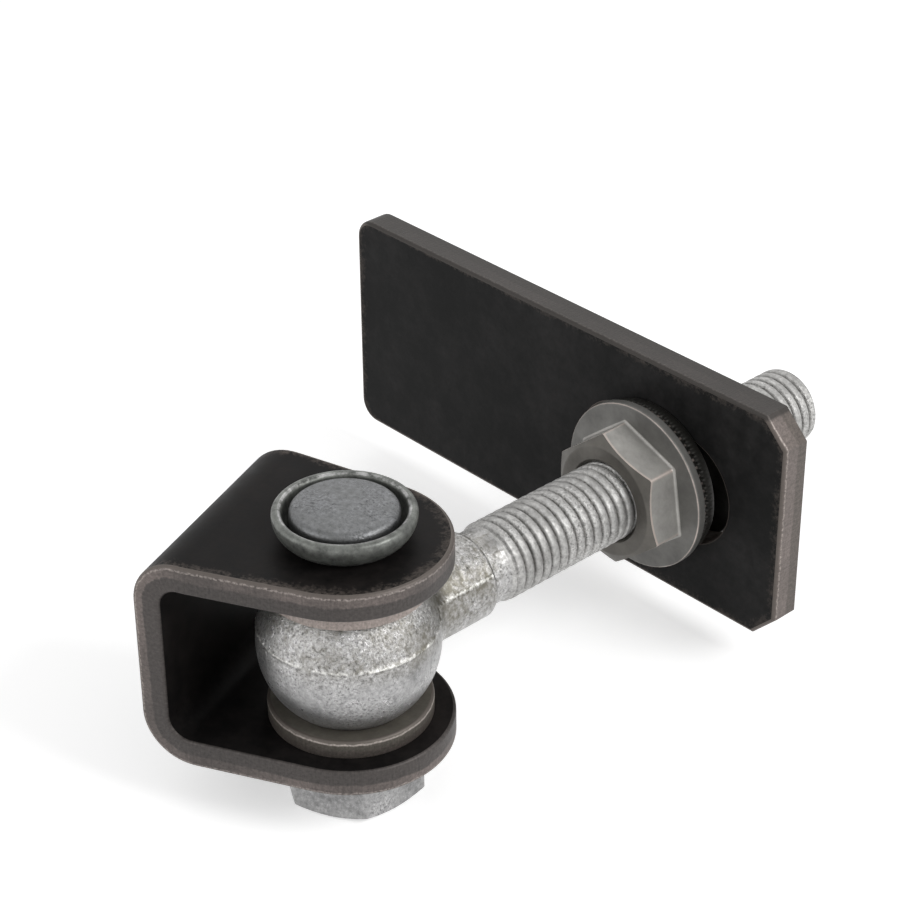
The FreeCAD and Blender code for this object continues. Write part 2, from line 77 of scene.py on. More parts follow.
MM = 0.001
PER_MM = 1000.0
FULL_TURN = 2.0 * math.pi
GUARD = 0.12 * MM          # width of the flat strip kept beside each rounded edge
SMOOTH_LIMIT = math.radians(33.0)   # edges that turn by more than this are shaded sharp
MERGE_WITHIN = 0.002 * MM  # points nearer than this become one
SLIVER = 0.0005 * MM       # edges shorter than this are taken out
ROUND_STEPS = 128          # steps round a turned or punched piece
BEND_ROWS = 17             # rows of points over each of the bracket's bends
WEB_ROWS = 7               # rows of points down the bracket's web
HOLE_ROUND = 0.3 * MM      # rounding at the mouths of the ears' holes
INNER_ROUND = 0.8          # rounding of the bracket's inner edges, as a share of that outside
PLATE_BACK_ROUND = 0.25 * MM   # rounding of the plate's outline behind
SLOT_ROUND = 0.4 * MM      # rounding of the plate's slot in front
PUNCH_ROUND = 0.35 * MM    # rounding of the washers' holes where the punch went in
BURR_ROUND = 0.2 * MM      # rounding of slot and washers on the burred side
OUTLINE_STEP = 1.2 * MM    # about the distance between points along the plate's outline
BEVEL_DISC = 0.475         # radius of the flat disc on a hexagon's bevelled end, as a share of its width
WORN_STRIP = 5.5 * MM      # how far the wear of an edge reaches over a face
INSIDE_WEAR = 0.35         # wear along the bracket's inner faces, as a share of that outside
PLATE_WEAR = 0.85          # the same along the plate's edges
WASHER_WEAR = 0.3          # the same along the flat washers' edges
SLIDE_GAP = 0.03 * MM      # gap that lets the plate slide past the serrated washers
THREAD_ROWS = 16           # rows of points in each turn of the thread
STEM_STEPS = 96            # steps round neck and thread, apart from those beside the flash
EYE_STEPS = 320            # steps round the ball
FLASH_WAVE = 900.0         # radians of the flash's waviness for each metre along the neck
# the flash's mark above rough skin paints a highlight along it, partly rubbed zinc
FLASH_HIGHLIGHT = 0.7          # how far above rough skin the flash is marked
CAD_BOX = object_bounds()
JOINTS = {joint["name"]: joint for joint in frame["joints"]}
BODIES = frame["record"]["behaviour"]["bodies"]
BODY_OF = {node: body for body, nodes in BODIES.items() for node in nodes}
PIVOT = np.array(JOINTS["eye_swing"]["pos_m"])
BOLT = np.array(JOINTS["clamp_slide"]["axis"])
ACROSS = np.array(JOINTS["plate_slide"]["axis"])
UP = np.array((0.0, 0.0, 1.0))
EYE_CENTRE = PIVOT * (1.0, 1.0, 0.0) + UP * sum(corner[2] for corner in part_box("eye_bolt")) / 2.0
OUTER_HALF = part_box("u_bracket")[1][2]


def linear(hex_colour):
    """The linear red, green, blue and alpha of an sRGB hex colour."""
    channels = np.array([int(hex_colour[i:i + 2], 16) for i in (1, 3, 5)]) / 255.0
    low = channels / 12.92
    high = ((channels + 0.055) / 1.055) ** 2.4
    return (*np.where(channels <= 0.04045, low, high).tolist(), 1.0)


def length(name, millimetres, description):
    """A length property of the panel, given in millimetres and kept in metres."""
    return bpy.props.FloatProperty(name=name, description=description, default=millimetres * MM, min=0.0,
                                   unit="LENGTH", precision=5)


def colour(name, hex_colour, description):
    """A colour property of the panel, given as an sRGB hex value."""
    return bpy.props.FloatVectorProperty(name=name, description=description, default=linear(hex_colour),
                                         size=4, min=0.0, max=1.0, subtype="COLOR")


class HingeSizes(bpy.types.PropertyGroup):
    """Sizes of the hinge's pieces."""
    strip_width: length("Strip width", 47.8, "Width of the bracket's strip at web and bends")
    ear_radius: length("Ear radius", 21.4, "Round ends of the bracket's ears")
    taper_round: length("Taper corner", 20.0, "Soft corner where an ear's taper starts")
    strip_thick: length("Strip thickness", 6.0, "Thickness of the bracket's strip")
    bend_radius: length("Bend radius", 4.5, "Inside radius of the bracket's bends")
    pivot_offset: length("Pivot offset", 34.9, "Weld face to pivot axis")
    shear_round: length("Sheared edge", 0.8, "Rounding of sheared edges")
    pivot_radius: length("Pivot radius", 9.0, "Radius of the pivot's shank")
    ear_clearance: length("Ear clearance", 0.2, "Radial clearance of the pivot in the ears")
    head_width: length("Head width", 27.0, "Pivot head across flats")
    head_high: length("Head height", 12.4, "Height of the pivot head")
    button_radius: length("Button radius", 11.0, "Radius of the riveted end")
    button_high: length("Button height", 4.8, "Height of the riveted end at its rim")
    button_round: length("Button edge", 1.6, "Rounding of the riveted end")
    button_crown: length("Button crown", 0.7, "Rise of the riveted end's middle")
    cup_foot: length("Cup foot", 1.5, "Width of the cup washer's foot ring")
    cup_flare: length("Cup flare", 3.7, "Reach of the cup's rim beyond its foot")
    cup_wall: length("Cup wall", 2.1, "Wall of the cup washer")
    cup_high: length("Cup height", 6.4, "Height of the cup washer")
    washer_radius: length("Washer radius", 17.0, "Radius of the flat washers")
    washer_hole: length("Washer hole", 9.5, "Radius of the flat washers' hole")
    washer_thick: length("Washer thickness", 4.0, "Thickness of the flat washers")
    washer_round: length("Washer edge", 0.7, "Rolled edge of the flat washers")
    eye_high: length("Eye height", 27.0, "Distance between the eye's flats")
    ball_radius: length("Ball radius", 18.75, "Radius of the eye's ball")
    eye_bore: length("Eye bore", 9.05, "Radius of the eye's bore")
    neck_radius: length("Neck radius", 9.7, "Radius of the forged neck")
    neck_blend: length("Neck blend", 7.0, "Radius of the hollow between ball and neck")
    neck_end: length("Neck end", 32.5, "Ball centre to the neck's shoulder")
    shoulder_round: length("Shoulder edge", 1.0, "Rounding of the neck's shoulder")
    flash_high: length("Flash height", 0.38, "Height of the forging flash")
    flash_thick: length("Flash thickness", 0.9, "Thickness of the forging flash")
    flash_level: length("Flash level", 4.2, "Height of the flash above the bolt's axis")
    shank_radius: length("Shank radius", 8.3, "Radius of the plain shank")
    thread_radius: length("Thread radius", 9.0, "Radius at the thread's crests")
    thread_depth: length("Thread depth", 1.3, "Crest to root of the thread")
    thread_pitch: length("Thread pitch", 2.5, "Distance from crest to crest")
    thread_start: length("Thread start", 37.5, "Ball centre to the thread's first turn")
    bolt_reach: length("Bolt reach", 134.5, "Ball centre to the bolt's end")
    end_bevel: length("End bevel", 1.5, "Bevel of the bolt's end")
    seat_reach: length("Front seat", 84.3, "Ball centre to the front nut's bearing face")
    nut_bore: length("Nut bore", 9.05, "Radius of the nuts' bore")
    nut_width: length("Nut width", 27.0, "Flange nuts across flats")
    nut_high: length("Nut height", 11.2, "Height of the flange nuts")
    mouth_bevel: length("Mouth bevel", 0.75, "Bevel of the nuts' bore")
    flange_radius: length("Flange radius", 19.45, "Radius of the nuts' flange")
    flange_rim: length("Flange rim", 2.2, "Thickness of the flange's rim")
    flange_root: length("Flange root", 2.6, "Thickness of the flange beside the hexagon")
    hex_round: length("Hexagon corner", 0.7, "Rounding of the hexagons' corners")
    lock_radius: length("Lock washer radius", 18.4, "Radius of the serrated washers")
    lock_hole: length("Lock washer hole", 9.4, "Radius of the serrated washers' hole")
    lock_thick: length("Lock washer thickness", 4.2, "Thickness of the serrated washers")
    tooth_deep: length("Tooth depth", 0.7, "Depth of the washers' notches")
    tooth_long: length("Tooth length", 2.0, "Length of the washers' notches along the bolt")
    tooth_count: bpy.props.IntProperty(name="Teeth", description="Notches round a serrated washer",
                                       default=64, min=8)
    plate_long: length("Plate length", 135.0, "Length of the weld plate")
    plate_wide: length("Plate width", 54.8, "Width of the weld plate")
    plate_thick: length("Plate thickness", 6.8, "Thickness of the weld plate")
    plate_rise: length("Plate rise", 0.8, "Plate's middle line above the bolt's axis")
    plate_short_end: length("Short end", 36.7, "Slot centre to the plate's nearer end")
    plate_bevel: length("Plate bevel", 6.0, "Cut-off corners at the nearer end")
    plate_round: length("Plate corner", 5.0, "Corner radius at the far end")
    slot_wide: length("Slot width", 26.0, "Width of the slot")
    slot_travel: length("Slot travel", 18.0, "Distance between the slot's round ends' centres")
    head_angle: bpy.props.FloatProperty(name="Head turn", description="Turn of the pivot head",
                                        subtype="ANGLE", default=math.radians(7.0))
    nut_angle: bpy.props.FloatProperty(name="Nut turn", description="Turn of the flange nuts",
                                       subtype="ANGLE", default=math.radians(20.8))
    bevel_angle: bpy.props.FloatProperty(name="Hexagon bevel", description="Slope of the hexagons' bevel",
                                         subtype="ANGLE", default=math.radians(30.0))


class HingeColours(bpy.types.PropertyGroup):
    """Colours of the hinge's finishes."""
    # strip and plate scale are lit and shaded copies of one mill scale: painted shade on the ears' upward
    # faces, painted light on the plate's front
    scale_dark: colour("Strip scale", "#100f0f", "Dark oxide skin of the bracket's strip")
    scale_light: colour("Strip scale, rubbed", "#221f1e", "Scuffed places on the strip's oxide skin")
    plate_dark: colour("Plate scale", "#1b1b1b", "Dark oxide skin of the weld plate")
    plate_light: colour("Plate scale, rubbed", "#2d2c2c", "Scuffed places on the plate's oxide skin")
    scale_bare: colour("Bare edge", "#5c5550", "Steel showing through where the skin wore off")
    shear_bright: colour("Burnished band", "#796f6b", "Smooth part of a cut edge")
    shear_dull: colour("Torn band", "#464240", "Rough part of a cut edge")
    rim_bright: colour("Fresh rim", "#a0958f", "Freshly punched rim of the upper washer")
    # painted shade: the plate's top and bottom edges are darkened, partly standing for their rolled scale
    long_side_shade: colour("Long sides, painted shade", "#262422", "Painted shade on the plate's top and bottom sides, partly their rolled scale")
    burr_and_highlight: colour("Burr and painted highlight", "#c3b9b2", "Thin bright line along a cut edge: burr and painted highlight")
    zinc_light: colour("Hot-dip zinc, light", "#c3c2c2", "Bright flakes of the zinc coat")
    zinc_dark: colour("Hot-dip zinc, dark", "#7b7b7b", "Dull places of the zinc coat")
    zinc_olive: colour("Hot-dip zinc, stained", "#706d64", "Dull places of the zinc on the rougher skin")
    thread_light: colour("Thread zinc, light", "#cac9c7", "Bright places of the thread's zinc")
    thread_dark: colour("Thread zinc, dark", "#8e8d8b", "Dull places of the thread's zinc")
    # painted light: a highlight along the flash, partly rubbed zinc, and a lighter tone in the thread's
    # roots
    zinc_painted_light: colour("Hot-dip zinc, painted light", "#e2e1dc", "Painted highlight on the flash's thin edge, partly rubbed zinc, and painted light in the thread's roots")
    # the riveted end's zinc is a darker copy of the head's: painted shade on its upward face
    button_shade_light: colour("Button zinc, painted shade, light", "#7e7f81", "Bright places of the pivot's zinc")
    button_shade_dark: colour("Button zinc, painted shade, dark", "#5a5b5a", "Dull places of the pivot's zinc")
    cup_grey: colour("Dull zinc", "#6b6d69", "Thin dull zinc on the cup washer")
    nut_grey: colour("Nut steel", "#9d9b97", "Plain zinc plate on the nuts")
    end_grey: colour("Nut ends", "#5e5b56", "Turned end faces of the nuts")
    # the flanges' darker grey is painted shade on faces turned to the front, partly a duller plate
    flange_shade_grey: colour("Flange steel, painted shade", "#6e6d6a", "Zinc plate on the nuts' flanges, darker as painted shade, partly duller")
    washer_grey: colour("Washer steel", "#66625a", "Bare punched steel of the flat washers")
    lock_grey: colour("Spring steel", "#2b2a27", "Dark oxide of the serrated washers")
    # also paints the highlights on the nuts' corners, bevels and flange rims
    worn_and_highlight: colour("Worn edge and painted highlight", "#cabbb2", "Bright metal along worn edges, and painted highlights on the nuts' corners, bevels and rims")
    floor_white: colour("Floor", "#f4f4f4", "Studio floor")


def unit(vectors):
    """Vectors along the last axis, brought to length one."""
    return vectors / np.linalg.norm(vectors, axis=-1, keepdims=True)


def rounded(corners, radii, steps=5):
    """An open outline of (radius, height) points whose inner corners are replaced by arcs.

    An arc of radius r in a corner of angle w starts and ends r / tan(w / 2) from the corner, and its
    points lie on the circle round the centre on the corner's bisector.  A narrow guard strip follows
    each side of an arc, so that smooth shading doesn't creep over the flats.
    """
    corners = np.asarray(corners, dtype=float)
    rows = [corners[:1]]
    for before, corner, after, radius in zip(corners[:-2], corners[1:-1], corners[2:], radii):
        if radius == 0.0:
            rows.append(corner[None])
            continue
        back = unit(before - corner)
        on = unit(after - corner)
        half = math.acos(np.clip(back @ on, -1.0, 1.0)) / 2.0
        reach = radius / math.tan(half)
        centre = corner + unit(back + on) * radius / math.sin(half)
        share = np.linspace(0.0, 1.0, steps + 1)[:, None]
        first = corner + back * reach - centre
        last = corner + on * reach - centre
        spread = math.pi - 2.0 * half
        swung = np.sin((1.0 - share) * spread) * first + np.sin(share * spread) * last
        arc = centre + swung / math.sin(spread)
        rows += [(corner + back * (reach + GUARD))[None], arc, (corner + on * (reach + GUARD))[None]]
    rows.append(corners[-1:])
    return np.concatenate(rows)


def turned(radius, level, angles, axis="z"):
    """Points of a surface turned round z or x, its radius and level given by row or by row and angle."""
    radius, level, angles = np.broadcast_arrays(np.atleast_2d(radius), np.atleast_2d(level),
                                                angles[None, :])
    if axis == "z":
        return np.stack((radius * np.cos(angles), radius * np.sin(angles), level), axis=-1)
    return np.stack((level, radius * np.cos(angles), radius * np.sin(angles)), axis=-1)


def circle_steps(count):
    """Angles right round, with the first repeated at the end."""
    return np.linspace(0.0, FULL_TURN, count + 1)


def hexagon_corner(width, corner_round):
    """Distance of a hexagon's corner circle from the middle, and the angle off the corner where it ends.

    The circle touches both sides, so its centre lies (width / 2 - round) / cos(30 degrees) out, and it
    meets a side half its radius beside the corner's line.
    """
    cosine = math.cos(math.pi / 6.0)
    centre = (width / 2.0 - corner_round) / cosine
    return centre, math.atan2(corner_round * 0.5, centre + corner_round * cosine)


def hexagon_reach(angles, width, corner_angle, corner_round):
    """Distance from a hexagon's middle to its side, and the angle to the nearest corner.

    A side lies width / 2 off the middle, so it is met at (width / 2) / cos(angle off the side's
    normal); near a corner the ray meets the corner's circle instead.
    """
    sixth = math.pi / 3.0
    off_corner = np.abs((angles - corner_angle + sixth / 2.0) % sixth - sixth / 2.0)
    flat = width / 2.0 / np.cos(math.pi / 6.0 - off_corner)
    centre, limit = hexagon_corner(width, corner_round)
    inside = np.maximum(corner_round ** 2 - (centre * np.sin(off_corner)) ** 2, 0.0)
    arc = centre * np.cos(off_corner) + np.sqrt(inside)
    return np.where(off_corner < limit, arc, flat), off_corner


def hexagon_angles(corner_angle, width, corner_round):
    """Angles round a hexagon, close together at its rounded corners."""
    sixth = math.pi / 3.0
    _centre, limit = hexagon_corner(width, corner_round)
    near = np.linspace(-limit, limit, 9)
    far = np.linspace(limit, sixth - limit, 12)[1:-1]
    guard = GUARD / width * 2.0
    one_side = np.concatenate((near, [limit + guard], far, [sixth - limit - guard]))
    steps = np.concatenate([one_side + side * sixth for side in range(6)])
    return np.append(steps, steps[0] + FULL_TURN) + corner_angle


class Patch:
    """One grid of points with its finish, its map in metres and the wear and painted highlights along its
    edges.
    """

    def __init__(self, points, finish=0, wear_and_highlight=0.0, surface_map=None):
        self.points = points
        self.finish = finish
        self.wear_and_highlight = np.broadcast_to(wear_and_highlight, points.shape[:2])
        self.surface_map = np.zeros(points.shape[:2] + (2,)) if surface_map is None else surface_map


def join_patches(name, patches):
    """One closed mesh from grids: neighbouring points of each grid make its four-sided faces."""
    points, faces, finishes, wear_and_highlight, maps = [], [], [], [], []
    used = 0
    for patch in patches:
        rows, columns = patch.points.shape[:2]
        numbers = used + np.arange(rows * columns).reshape(rows, columns)
        faces.append(np.stack((numbers[:-1, :-1], numbers[:-1, 1:], numbers[1:, 1:], numbers[1:, :-1]),
                              axis=-1).reshape(-1, 4))
        finishes.append(np.full(len(faces[-1]), patch.finish, dtype=np.int32))
        points.append(patch.points.reshape(-1, 3))
        wear_and_highlight.append(patch.wear_and_highlight.reshape(-1))
        maps.append(patch.surface_map.reshape(-1, 2))
        used += rows * columns
    faces = np.concatenate(faces)
    mesh = bpy.data.meshes.new(name)
    mesh.from_pydata(np.concatenate(points), [], faces)
    mesh.polygons.foreach_set("material_index", np.concatenate(finishes))
    mesh.polygons.foreach_set("use_smooth", np.ones(len(faces), dtype=bool))
    spots = np.concatenate(maps)[faces.reshape(-1)]
    mesh.uv_layers.new(name="UVMap").data.foreach_set("uv", spots.reshape(-1))
    # the per-point mark carries wear, and also painted highlights and painted light
    mesh.attributes.new("wear_and_highlight", "FLOAT", "POINT").data.foreach_set("value", np.concatenate(wear_and_highlight))
    work = bmesh.new()
    work.from_mesh(mesh)
    bmesh.ops.remove_doubles(work, verts=work.verts, dist=MERGE_WITHIN)
    bmesh.ops.dissolve_degenerate(work, dist=SLIVER, edges=work.edges)
    bmesh.ops.recalc_face_normals(work, faces=work.faces)
    work.to_mesh(mesh)
    work.free()
    mesh.set_sharp_from_angle(angle=SMOOTH_LIMIT)
    return mesh


def on_pivot(points):
    """Points drawn round the pivot's axis, in the hinge's frame."""
    return points + PIVOT * (1.0, 1.0, 0.0)


def on_bolt(points):
    """Points drawn from the ball's centre along the bolt, in the hinge's frame."""
    return EYE_CENTRE + points @ np.stack((BOLT, ACROSS, UP))


def set_piece(node, patches, place, finishes):
    """Make a piece from its patches, in place of its CAD node, and let it ride on the node's body."""
    for patch in patches:
        patch.points = place(patch.points)
    piece = bpy.data.objects.new(f"{node}_piece", join_patches(f"{node}_mesh", patches))
    for finish in finishes:
        piece.data.materials.append(finish)
    bpy.context.scene.collection.objects.link(piece)
    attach(piece, BODY_OF[node])
    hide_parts(node)
    return piece


def sheet_edge(thick, front_round, back_round, steps=5):
    """Profile of a cut edge as (inset, level) rows from a sheet's front face to its back face.

    It is a quarter circle, a straight line in a few rows and another quarter circle.
    """
    half = thick / 2.0
    corners = [(front_round * 2.0, half), (0.0, half), (0.0, -half), (back_round * 2.0, -half)]
    rows = rounded(corners, (front_round, back_round), steps)
    straight = np.linspace(half - front_round - GUARD, back_round + GUARD - half, 7)[1:-1]
    middle = np.stack((np.zeros_like(straight), straight), axis=-1)
    # the first arc with the guard after it ends here, and the second arc's guard follows
    cut = steps + 4
    return np.concatenate((rows[2:cut], middle, rows[cut:-2]))


def closed_lengths(loop):
    """Distance run along a closed loop of points up to each of them."""
    steps = np.linalg.norm(np.diff(loop, axis=0), axis=-1)
    return np.concatenate(([0.0], np.cumsum(steps)))


def edge_patch(loops, levels, shape, finish):
    """The cut edge of a sheet: one closed loop for each level between the front face and the back.

    The map holds the distance run along the loop and the depth from the front face.
    """
    level = np.broadcast_to(levels[:, None], loops.shape[:2])
    run = np.broadcast_to(closed_lengths(loops[len(loops) // 2])[None], loops.shape[:2])
    surface_map = np.stack((run, levels[0] - level), axis=-1)
    return Patch(shape(loops[..., 0], loops[..., 1], level), finish, 0.0, surface_map)


def face_patch(inner, outer, level, shape, finish, worn=1.0):
    """The flat of a sheet between two loops: straight lines from each inner point to its outer one.

    The outermost and innermost strips are narrow guards, and the outer strip is marked as worn.
    """
    gap = np.linalg.norm(outer - inner, axis=-1)
    guard = GUARD / gap
    still = np.zeros_like(gap)
    worn_from = 1.0 - WORN_STRIP / gap
    shares = np.stack((still, guard, worn_from * 0.5, worn_from, 1.0 - guard, still + 1.0))
    flat = inner[None] + (outer - inner)[None] * shares[..., None]
    # from the inner loop's faint wear over the clean middle to the outer loop's full wear
    wear_and_highlight = np.array((0.4, 0.35, 0.0, 0.0, 0.97, 1.0))[:, None] * (worn + still)
    return Patch(shape(flat[..., 0], flat[..., 1], np.full(flat.shape[:2], level)), finish, wear_and_highlight)


def strip_shape(sizes):
    """The folding of the bracket's flat strip, and the run along the strip from ear centre to ear centre.

    A flat point has a run along the strip's middle line, a place across it and a level above it.  The
    line goes straight back from the upper ear's centre, turns a quarter circle, runs down the web,
    turns another quarter and comes straight forward to the lower ear's centre.
    """
    middle = sizes.bend_radius + sizes.strip_thick / 2.0
    ear = sizes.pivot_offset - sizes.bend_radius - sizes.strip_thick
    high = OUTER_HALF - sizes.strip_thick / 2.0
    bend = middle * math.pi / 2.0
    web = 2.0 * (high - middle)
    total = 2.0 * (ear + bend) + web

    def shape(run, across, level):
        """The places of the flat strip's points once it is folded."""
        first = np.clip((run - ear) / middle, 0.0, math.pi / 2.0)
        second = np.clip((run - ear - bend - web) / middle, 0.0, math.pi / 2.0)
        turn = first + second
        down = np.clip(run - ear - bend, 0.0, web)
        ahead = np.minimum(run, ear) * -1.0 + np.maximum(run - total + ear, 0.0)
        x = ahead - middle * np.sin(first) + middle * (1.0 - np.cos(second)) - level * np.sin(turn)
        z = high - middle * (1.0 - np.cos(first)) - down - middle * np.sin(second) + level * np.cos(turn)
        return np.stack((x, across, z), axis=-1)

    return shape, ear, bend, web, total


def bracket_patches(sizes):
    """The folded strip: two broad faces, the cut edge round them and the walls of the two ear holes.

    Round each ear the face runs from the hole's circle to the ear's outline; between the ears it is a
    plain grid along the strip.
    """
    shape, ear, bend, web, total = strip_shape(sizes)
    half = sizes.strip_width / 2.0
    hole = sizes.pivot_radius + sizes.ear_clearance
    edge = sheet_edge(sizes.strip_thick, sizes.shear_round, sizes.shear_round * INNER_ROUND)
    wall = sheet_edge(sizes.strip_thick, HOLE_ROUND, HOLE_ROUND, 3)
    first_bend = np.linspace(ear, ear + bend, BEND_ROWS)
    down_web = np.linspace(ear + bend, ear + bend + web, WEB_ROWS)[1:-1]
    second_bend = np.linspace(ear + bend + web, total - ear, BEND_ROWS)
    over = np.concatenate((first_bend, down_web, second_bend))

    def fold_places(width):
        """Places across the strip, with a narrow guard at each side."""
        inner = np.linspace(-1.0, 1.0, 23) * (width - WORN_STRIP)
        return np.concatenate(((-width, GUARD - width), inner, (width - GUARD, width)))

    def ear_side(inset):
        """One side of an ear, from the fold round the soft corner and along the taper, and its slope.

        The taper's line touches the soft corner's circle and the round end's; its normal, dotted with
        the way between the two centres, is the difference of their radii.
        """
        soft = sizes.taper_round - inset
        tip = sizes.ear_radius - inset
        centre = np.array((ear, half - sizes.taper_round))
        lean = math.acos((tip - soft) / np.linalg.norm(centre))
        slope = lean + math.atan2(centre[1], centre[0]) - math.pi / 2.0
        turn = math.pi / 2.0 + np.linspace(0.0, slope, 5)
        corner = centre + soft * np.stack((np.cos(turn), np.sin(turn)), axis=-1)
        touch = tip * np.array((-math.sin(slope), math.cos(slope)))
        line = corner[-1] + (touch - corner[-1]) * np.linspace(0.0, 1.0, 12)[1:, None]
        return np.concatenate((corner, line)), slope

    def ear_tip(inset, slope):
        """The round end between the two tapers, without its first and last point."""
        turn = np.linspace(math.pi / 2.0 + slope, 1.5 * math.pi - slope, 61)[1:-1]
        return (sizes.ear_radius - inset) * np.stack((np.cos(turn), np.sin(turn)), axis=-1)

    def ear_outline(inset):
        """Closed loop round an ear: along one side, round the tip, back, and over the fold's line."""
        side, slope = ear_side(inset)
        across = fold_places(half - inset)[1:]
        fold = np.stack((np.full(len(across), ear), across), axis=-1)
        return np.concatenate((side, ear_tip(inset, slope), side[::-1] * (1.0, -1.0), fold))

    def strip_outline(inset):
        """Closed loop round the flat strip, from one ear's tip down one side and back up the other."""
        side, slope = ear_side(inset)
        tip = ear_tip(inset, slope)
        other_end = np.array((total, 0.0))
        between = np.stack((over[1:-1], np.full(len(over) - 2, half - inset)), axis=-1)
        down = np.concatenate((side[::-1], between, other_end + side * (-1.0, 1.0)))
        round_low = other_end + tip * (-1.0, 1.0)
        return np.concatenate((down, round_low, down[::-1] * (1.0, -1.0), tip[::-1], down[:1]))

    def lower_ear(run, place, level):
        """The lower ear is the upper one, counted from the strip's other end."""
        return shape(total - run, place, level)

    rays = unit(ear_outline(0.0))
    mouth = rays * (hole + HOLE_ROUND)
    worn = np.ones(len(rays))
    # no wear on the fold's line, where the ear runs on into the bend
    worn[len(worn) - len(fold_places(half)) + 2:-1] = 0.0
    patches = []
    for (inset, level), rubbed in ((edge[0], 1.0), (edge[-1], INSIDE_WEAR)):
        for ear_shape in (shape, lower_ear):
            patches.append(face_patch(mouth, ear_outline(inset), level, ear_shape, 0, worn * rubbed))
        run, place = np.meshgrid(over, fold_places(half - inset), indexing="ij")
        wear_and_highlight = np.clip(1.0 - (half - inset - np.abs(place)) / WORN_STRIP, 0.0, 1.0)
        patches.append(Patch(shape(run, place, np.full(run.shape, level)), 0, wear_and_highlight * rubbed))
    loops = np.stack([strip_outline(inset) for inset in edge[:, 0]])
    patches.append(edge_patch(loops, edge[:, 1], shape, 1))
    for ear_shape in (shape, lower_ear):
        patches.append(edge_patch(rays[None] * (hole + wall[:, None, :1]), wall[:, 1], ear_shape, 1))
    return patches


def plate_patches(sizes):
    """The weld plate: two faces between slot and outline, the cut edge outside and the slot's wall.

    Every outline point looks at the slot's middle, and the slot's point on that line is the flat side
    where the line meets it within the travel, and otherwise the round end's circle.
    """
    near = -sizes.plate_short_end
    far = sizes.plate_long - sizes.plate_short_end
    half = sizes.plate_wide / 2.0
    bevel = sizes.plate_bevel
    fillet = sizes.plate_round
    quarter = np.linspace(0.0, math.pi / 2.0, 9)
    lower_arc = np.stack((far - fillet + fillet * np.sin(quarter),
                          fillet - half - fillet * np.cos(quarter)), axis=-1)
    upper_arc = lower_arc[::-1] * (1.0, -1.0)
    corners = np.concatenate((((near + bevel, -half),), lower_arc, upper_arc,
                              ((near + bevel, half), (near, half - bevel), (near, bevel - half),
                               (near + bevel, -half))))
    sides = np.diff(corners, axis=0)
    normals = unit(np.stack((sides[:, 1], -sides[:, 0]), axis=-1))
    before = np.roll(normals, 1, axis=0)
    mitres = (normals + before) / (1.0 + np.sum(normals * before, axis=-1, keepdims=True))
    loop, outward = [], []
    for start, side, normal, mitre in zip(corners[:-1], sides, normals, mitres):
        count = max(1, int(np.linalg.norm(side) / OUTLINE_STEP))
        share = np.arange(count)[:, None] / count
        loop.append(start + side * share)
        outward.append(np.concatenate((mitre[None], np.tile(normal, (count - 1, 1)))))
    loop = np.concatenate(loop + [corners[:1]])
    outward = np.concatenate(outward + [mitres[:1]])

    def slot_loop(grow):
        """The slot's outline, grown by a little, on the lines from its middle to the plate's outline."""
        end = sizes.slot_wide / 2.0 + grow
        run = sizes.slot_travel / 2.0
        ray = unit(loop)
        flat = end / np.maximum(np.abs(ray[:, 1]), 1e-9)
        on_flat = np.abs(flat * ray[:, 0]) <= run
        inside = np.maximum(end ** 2 - (run * ray[:, 1]) ** 2, 0.0)
        curve = run * np.abs(ray[:, 0]) + np.sqrt(inside)
        return ray * np.where(on_flat, flat, curve)[:, None]

    front = sizes.seat_reach + sizes.lock_thick

    def shape(place, high, level):
        """Stand the flat plate across the bolt, its front face towards the ball."""
        return np.stack((front + sizes.plate_thick / 2.0 - level, place, high + sizes.plate_rise),
                        axis=-1)

    edge = sheet_edge(sizes.plate_thick, sizes.shear_round, PLATE_BACK_ROUND)
    wall = sheet_edge(sizes.plate_thick, SLOT_ROUND, BURR_ROUND)
    patches = []
    for row in (0, -1):
        outer = loop - outward * edge[row, 0]
        patches.append(face_patch(slot_loop(wall[row, 0]), outer, edge[row, 1], shape, 0, PLATE_WEAR))
    patches.append(edge_patch(loop[None] - edge[:, None, :1] * outward[None], edge[:, 1], shape, 1))
    patches.append(edge_patch(np.stack([slot_loop(inset) for inset in wall[:, 0]]), wall[:, 1], shape, 1))
    return patches


def washer_patches(sizes, base):
    """A punched washer: two flat rings, and the cut edges of its rim and its hole.

    Every loop is a circle; the rim's is drawn in and the hole's let out where the edges are rounded.
    """
    angles = circle_steps(ROUND_STEPS)
    ring = np.stack((np.cos(angles), np.sin(angles)), axis=-1)
    edge = sheet_edge(sizes.washer_thick, sizes.washer_round, BURR_ROUND)
    wall = sheet_edge(sizes.washer_thick, PUNCH_ROUND, BURR_ROUND)

    def shape(x, y, level):
        """Lay the washer flat on its base."""
        return np.stack((x, y, base + sizes.washer_thick / 2.0 + level), axis=-1)

    patches = []
    for row in (0, -1):
        inner = ring * (sizes.washer_hole + wall[row, 0])
        outer = ring * (sizes.washer_radius - edge[row, 0])
        patches.append(face_patch(inner, outer, edge[row, 1], shape, 0, WASHER_WEAR))
    rim = ring[None] * (sizes.washer_radius - edge[:, None, :1])
    hole = ring[None] * (sizes.washer_hole + wall[:, None, :1])
    patches.append(edge_patch(rim, edge[:, 1], shape, 1))
    patches.append(edge_patch(hole, wall[:, 1], shape, 1))
    return patches


